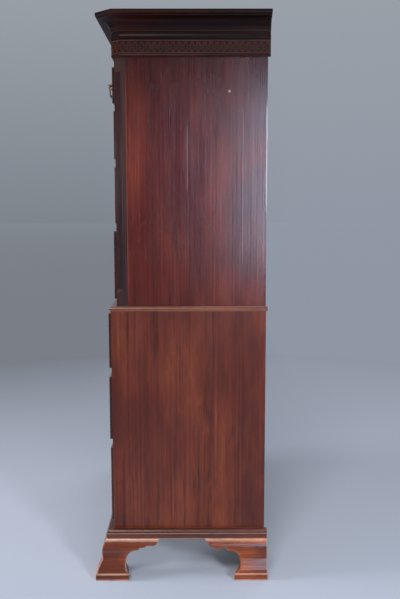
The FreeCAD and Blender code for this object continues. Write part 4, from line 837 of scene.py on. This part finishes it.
def make_feet():
    """Two front feet, mitred at their corners, and two back feet with a plain bracket behind."""
    toe_front, toe_back = LOWER_FRONT - TOE * MM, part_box("back_feet")[1][1]
    toe_side = LOWER_HALF + TOE * MM
    inside = LOWER_HALF + BRACKET_BACK * MM
    front, back = [], []
    for hand in (-1, 1):
        front.append(bracket(FRONT_SCROLL, True, lambda d, out, z: np.stack(
            [hand * (LOWER_HALF + out), toe_front + d, z], -1)))
        front.append(bracket(FRONT_SCROLL, True, lambda d, out, z: np.stack(
            [hand * (toe_side - d), LOWER_FRONT - out, z], -1)))
        back.append(bracket(BACK_SCROLL, False, lambda d, out, z: np.stack(
            [hand * (LOWER_HALF + out), toe_back - d, z], -1)))
        for feet, toe, inwards in ((front, toe_front, 1), (back, toe_back, -1)):
            outside = [(hand * (toe_side - PAD_SIDE), toe), (hand * toe_side, toe),
                       (hand * toe_side, toe + inwards * PAD_SIDE)]
            within = [(hand * (toe_side - PAD_DEEP), toe + inwards * PAD_CUT),
                      (hand * (toe_side - PAD_DEEP), toe + inwards * PAD_DEEP),
                      (hand * (toe_side - PAD_CUT), toe + inwards * PAD_DEEP)]
            way = hand * inwards
            feet.append(mitred(outside[::way], PAD, 0, within[::way], PAD_EASE))
        ends = sorted((hand * inside, hand * (inside - BLOCK_SIDE)))
        inner_front = LOWER_FRONT - BRACKET_BACK * MM
        front.append(eased_block([ends[0], inner_front, PAD_TOP * MM],
                                 [ends[1], inner_front + BLOCK_SIDE, FOOT_TOP * MM]))
        rear = CASE_BACK - BACK_BRACKET
        back.append(eased_block([ends[0], rear - BLOCK_SIDE, PAD_TOP * MM], [ends[1], rear, FOOT_TOP * MM]))
        plain = drawn(PLAIN_BRACKET)
        shape = np.stack([hand * (inside + plain[:, 0] * MM), 0 * plain[:, 0], plain[:, 1] * MM], -1)
        back.append(skin(np.stack([shape + [0, rear, 0], shape + [0, CASE_BACK, 0]])))
    piece("front_ogee_feet", front, "carcasses", "foot_mahogany", sharp=38, stands_for=["front_feet"])
    piece("back_ogee_feet", back, "carcasses", "foot_mahogany", sharp=38, stands_for=["back_feet"])


# ---------------------------------------------------------------------------
# Blind fret: interlaced tracery glued to the frieze.

FRET_PITCH = 41 * MM
FRET_RISE = 14.5 * MM
FRET_BAR = 4.2 * MM
FRET_PROUD = 2.6 * MM
FRET_SUNK = -0.3 * MM      # the bars start just inside the face that they are glued to
FRET_SECTION = (-0.5, -0.42, 0.42, 0.5)   # across a bar, in widths
FRET_BEND = 0.96           # nearer 1 bends the zigzags more sharply
FRET_STEPS = 16
RAIL_BAR = FRET_BAR * 1.2
RAIL_INSET = 2.4 * MM
RING_RADIUS = 4.2 * MM
RING_BAR = 2.4 * MM
FRIEZE_FLAT = 43 * MM
FRIEZE_END = 0.5 * MM      # how far short of the frieze's back end the fret stops
FRET_WORN = (0, 0.16, 0.16, 0)   # how worn the section of a bar is, from edge to edge


def fret_bar(start, along, out, s, z, width):
    """A flat bar of fret along the line (s, z) on a face: a low trapezium carried along it."""
    run = np.gradient(np.stack([s, z], -1), axis=0)
    run[[0, -1]] = [1, 0]
    run /= np.linalg.norm(run, axis=1, keepdims=True)
    across = np.array(FRET_SECTION) * width
    proud = np.array([FRET_SUNK, FRET_PROUD, FRET_PROUD, FRET_SUNK])
    s_all = s[:, None] - run[:, 1:] * across
    z_all = z[:, None] + run[:, :1] * across
    spots = start + s_all[..., None] * along + proud[None, :, None] * out
    spots[..., 2] += z_all
    return *skin(spots), np.tile(FRET_WORN, len(s))


def fret_ring(start, along, out, s, z, radius, width):
    """A flat ring of fret round (s, z): the same low trapezium carried round a circle."""
    aside, up = circle(16)
    loops = [(radius - width / 2, FRET_SUNK), (radius - width * 0.4, FRET_PROUD),
             (radius + width * 0.4, FRET_PROUD), (radius + width / 2, FRET_SUNK)]
    rings = []
    for reach, proud in loops:
        ring = start + (s + reach * aside)[:, None] * along + proud * out
        ring[:, 2] += z + reach * up
        rings.append(ring)
    return *skin(np.array(rings), closed=True), np.repeat(FRET_WORN, len(aside))


def fret_run(corner, end, height):
    """Fret on one face of the frieze: two zigzags z = a asin(b sin(2 pi s / p)) / asin(b) that interlace, a
    ring in each lozenge, and a rail above and below."""
    corner, end = np.array([*corner, height]), np.array([*end, height])
    length = np.linalg.norm(end - corner)
    along = (end - corner) / length
    out = np.array([along[1], -along[0], 0])
    periods = max(1, round(length / FRET_PITCH))
    pitch = length / periods
    s = np.linspace(0, length, periods * FRET_STEPS + 1)
    wave = np.arcsin(FRET_BEND * np.sin(2 * math.pi * s / pitch)) / math.asin(FRET_BEND)
    skins = [fret_bar(corner, along, out, s, FRET_RISE * sign * wave, FRET_BAR) for sign in (-1, 1)]
    ends = np.array([0, length])
    rail = FRIEZE_FLAT / 2 - RAIL_INSET
    skins += [fret_bar(corner, along, out, ends, sign * rail + 0 * ends, RAIL_BAR) for sign in (-1, 1)]
    skins += [fret_ring(corner, along, out, (number + 0.5) * pitch / 2, 0, RING_RADIUS, RING_BAR)
              for number in range(2 * periods)]
    return skins


def make_fret():
    """Fret on every face of the frieze, above its ridge.  Where the plan grows by r, its cants grow by
    (2 - root 2) r, so that all its faces move out alike."""
    low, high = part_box("frieze")
    reach = FRIEZE_REACH * MM
    plan = canted_plan(UPPER_HALF + reach, UPPER_FRONT - reach, high[1] - FRIEZE_END,
                       CANT + reach * (2 - math.sqrt(2)))
    level = low[2] + RIDGE_TOP * MM + FRIEZE_FLAT / 2
    skins = []
    for corner, end in zip(plan, plan[1:]):
        skins += fret_run(corner, end, level)
    piece("blind_fret", skins, "carcasses", "frieze_mahogany")


make_camera()
dress_nodes()
for drawer in [name for name in frame["bodies"] if name.endswith("_drawer")]:
    drawer_brasses(drawer)
make_facing()
make_mouldings()
make_feet()
make_fret()
make_world()
make_floor()
make_lights()
bpy.context.scene.view_settings.view_transform = "Standard"
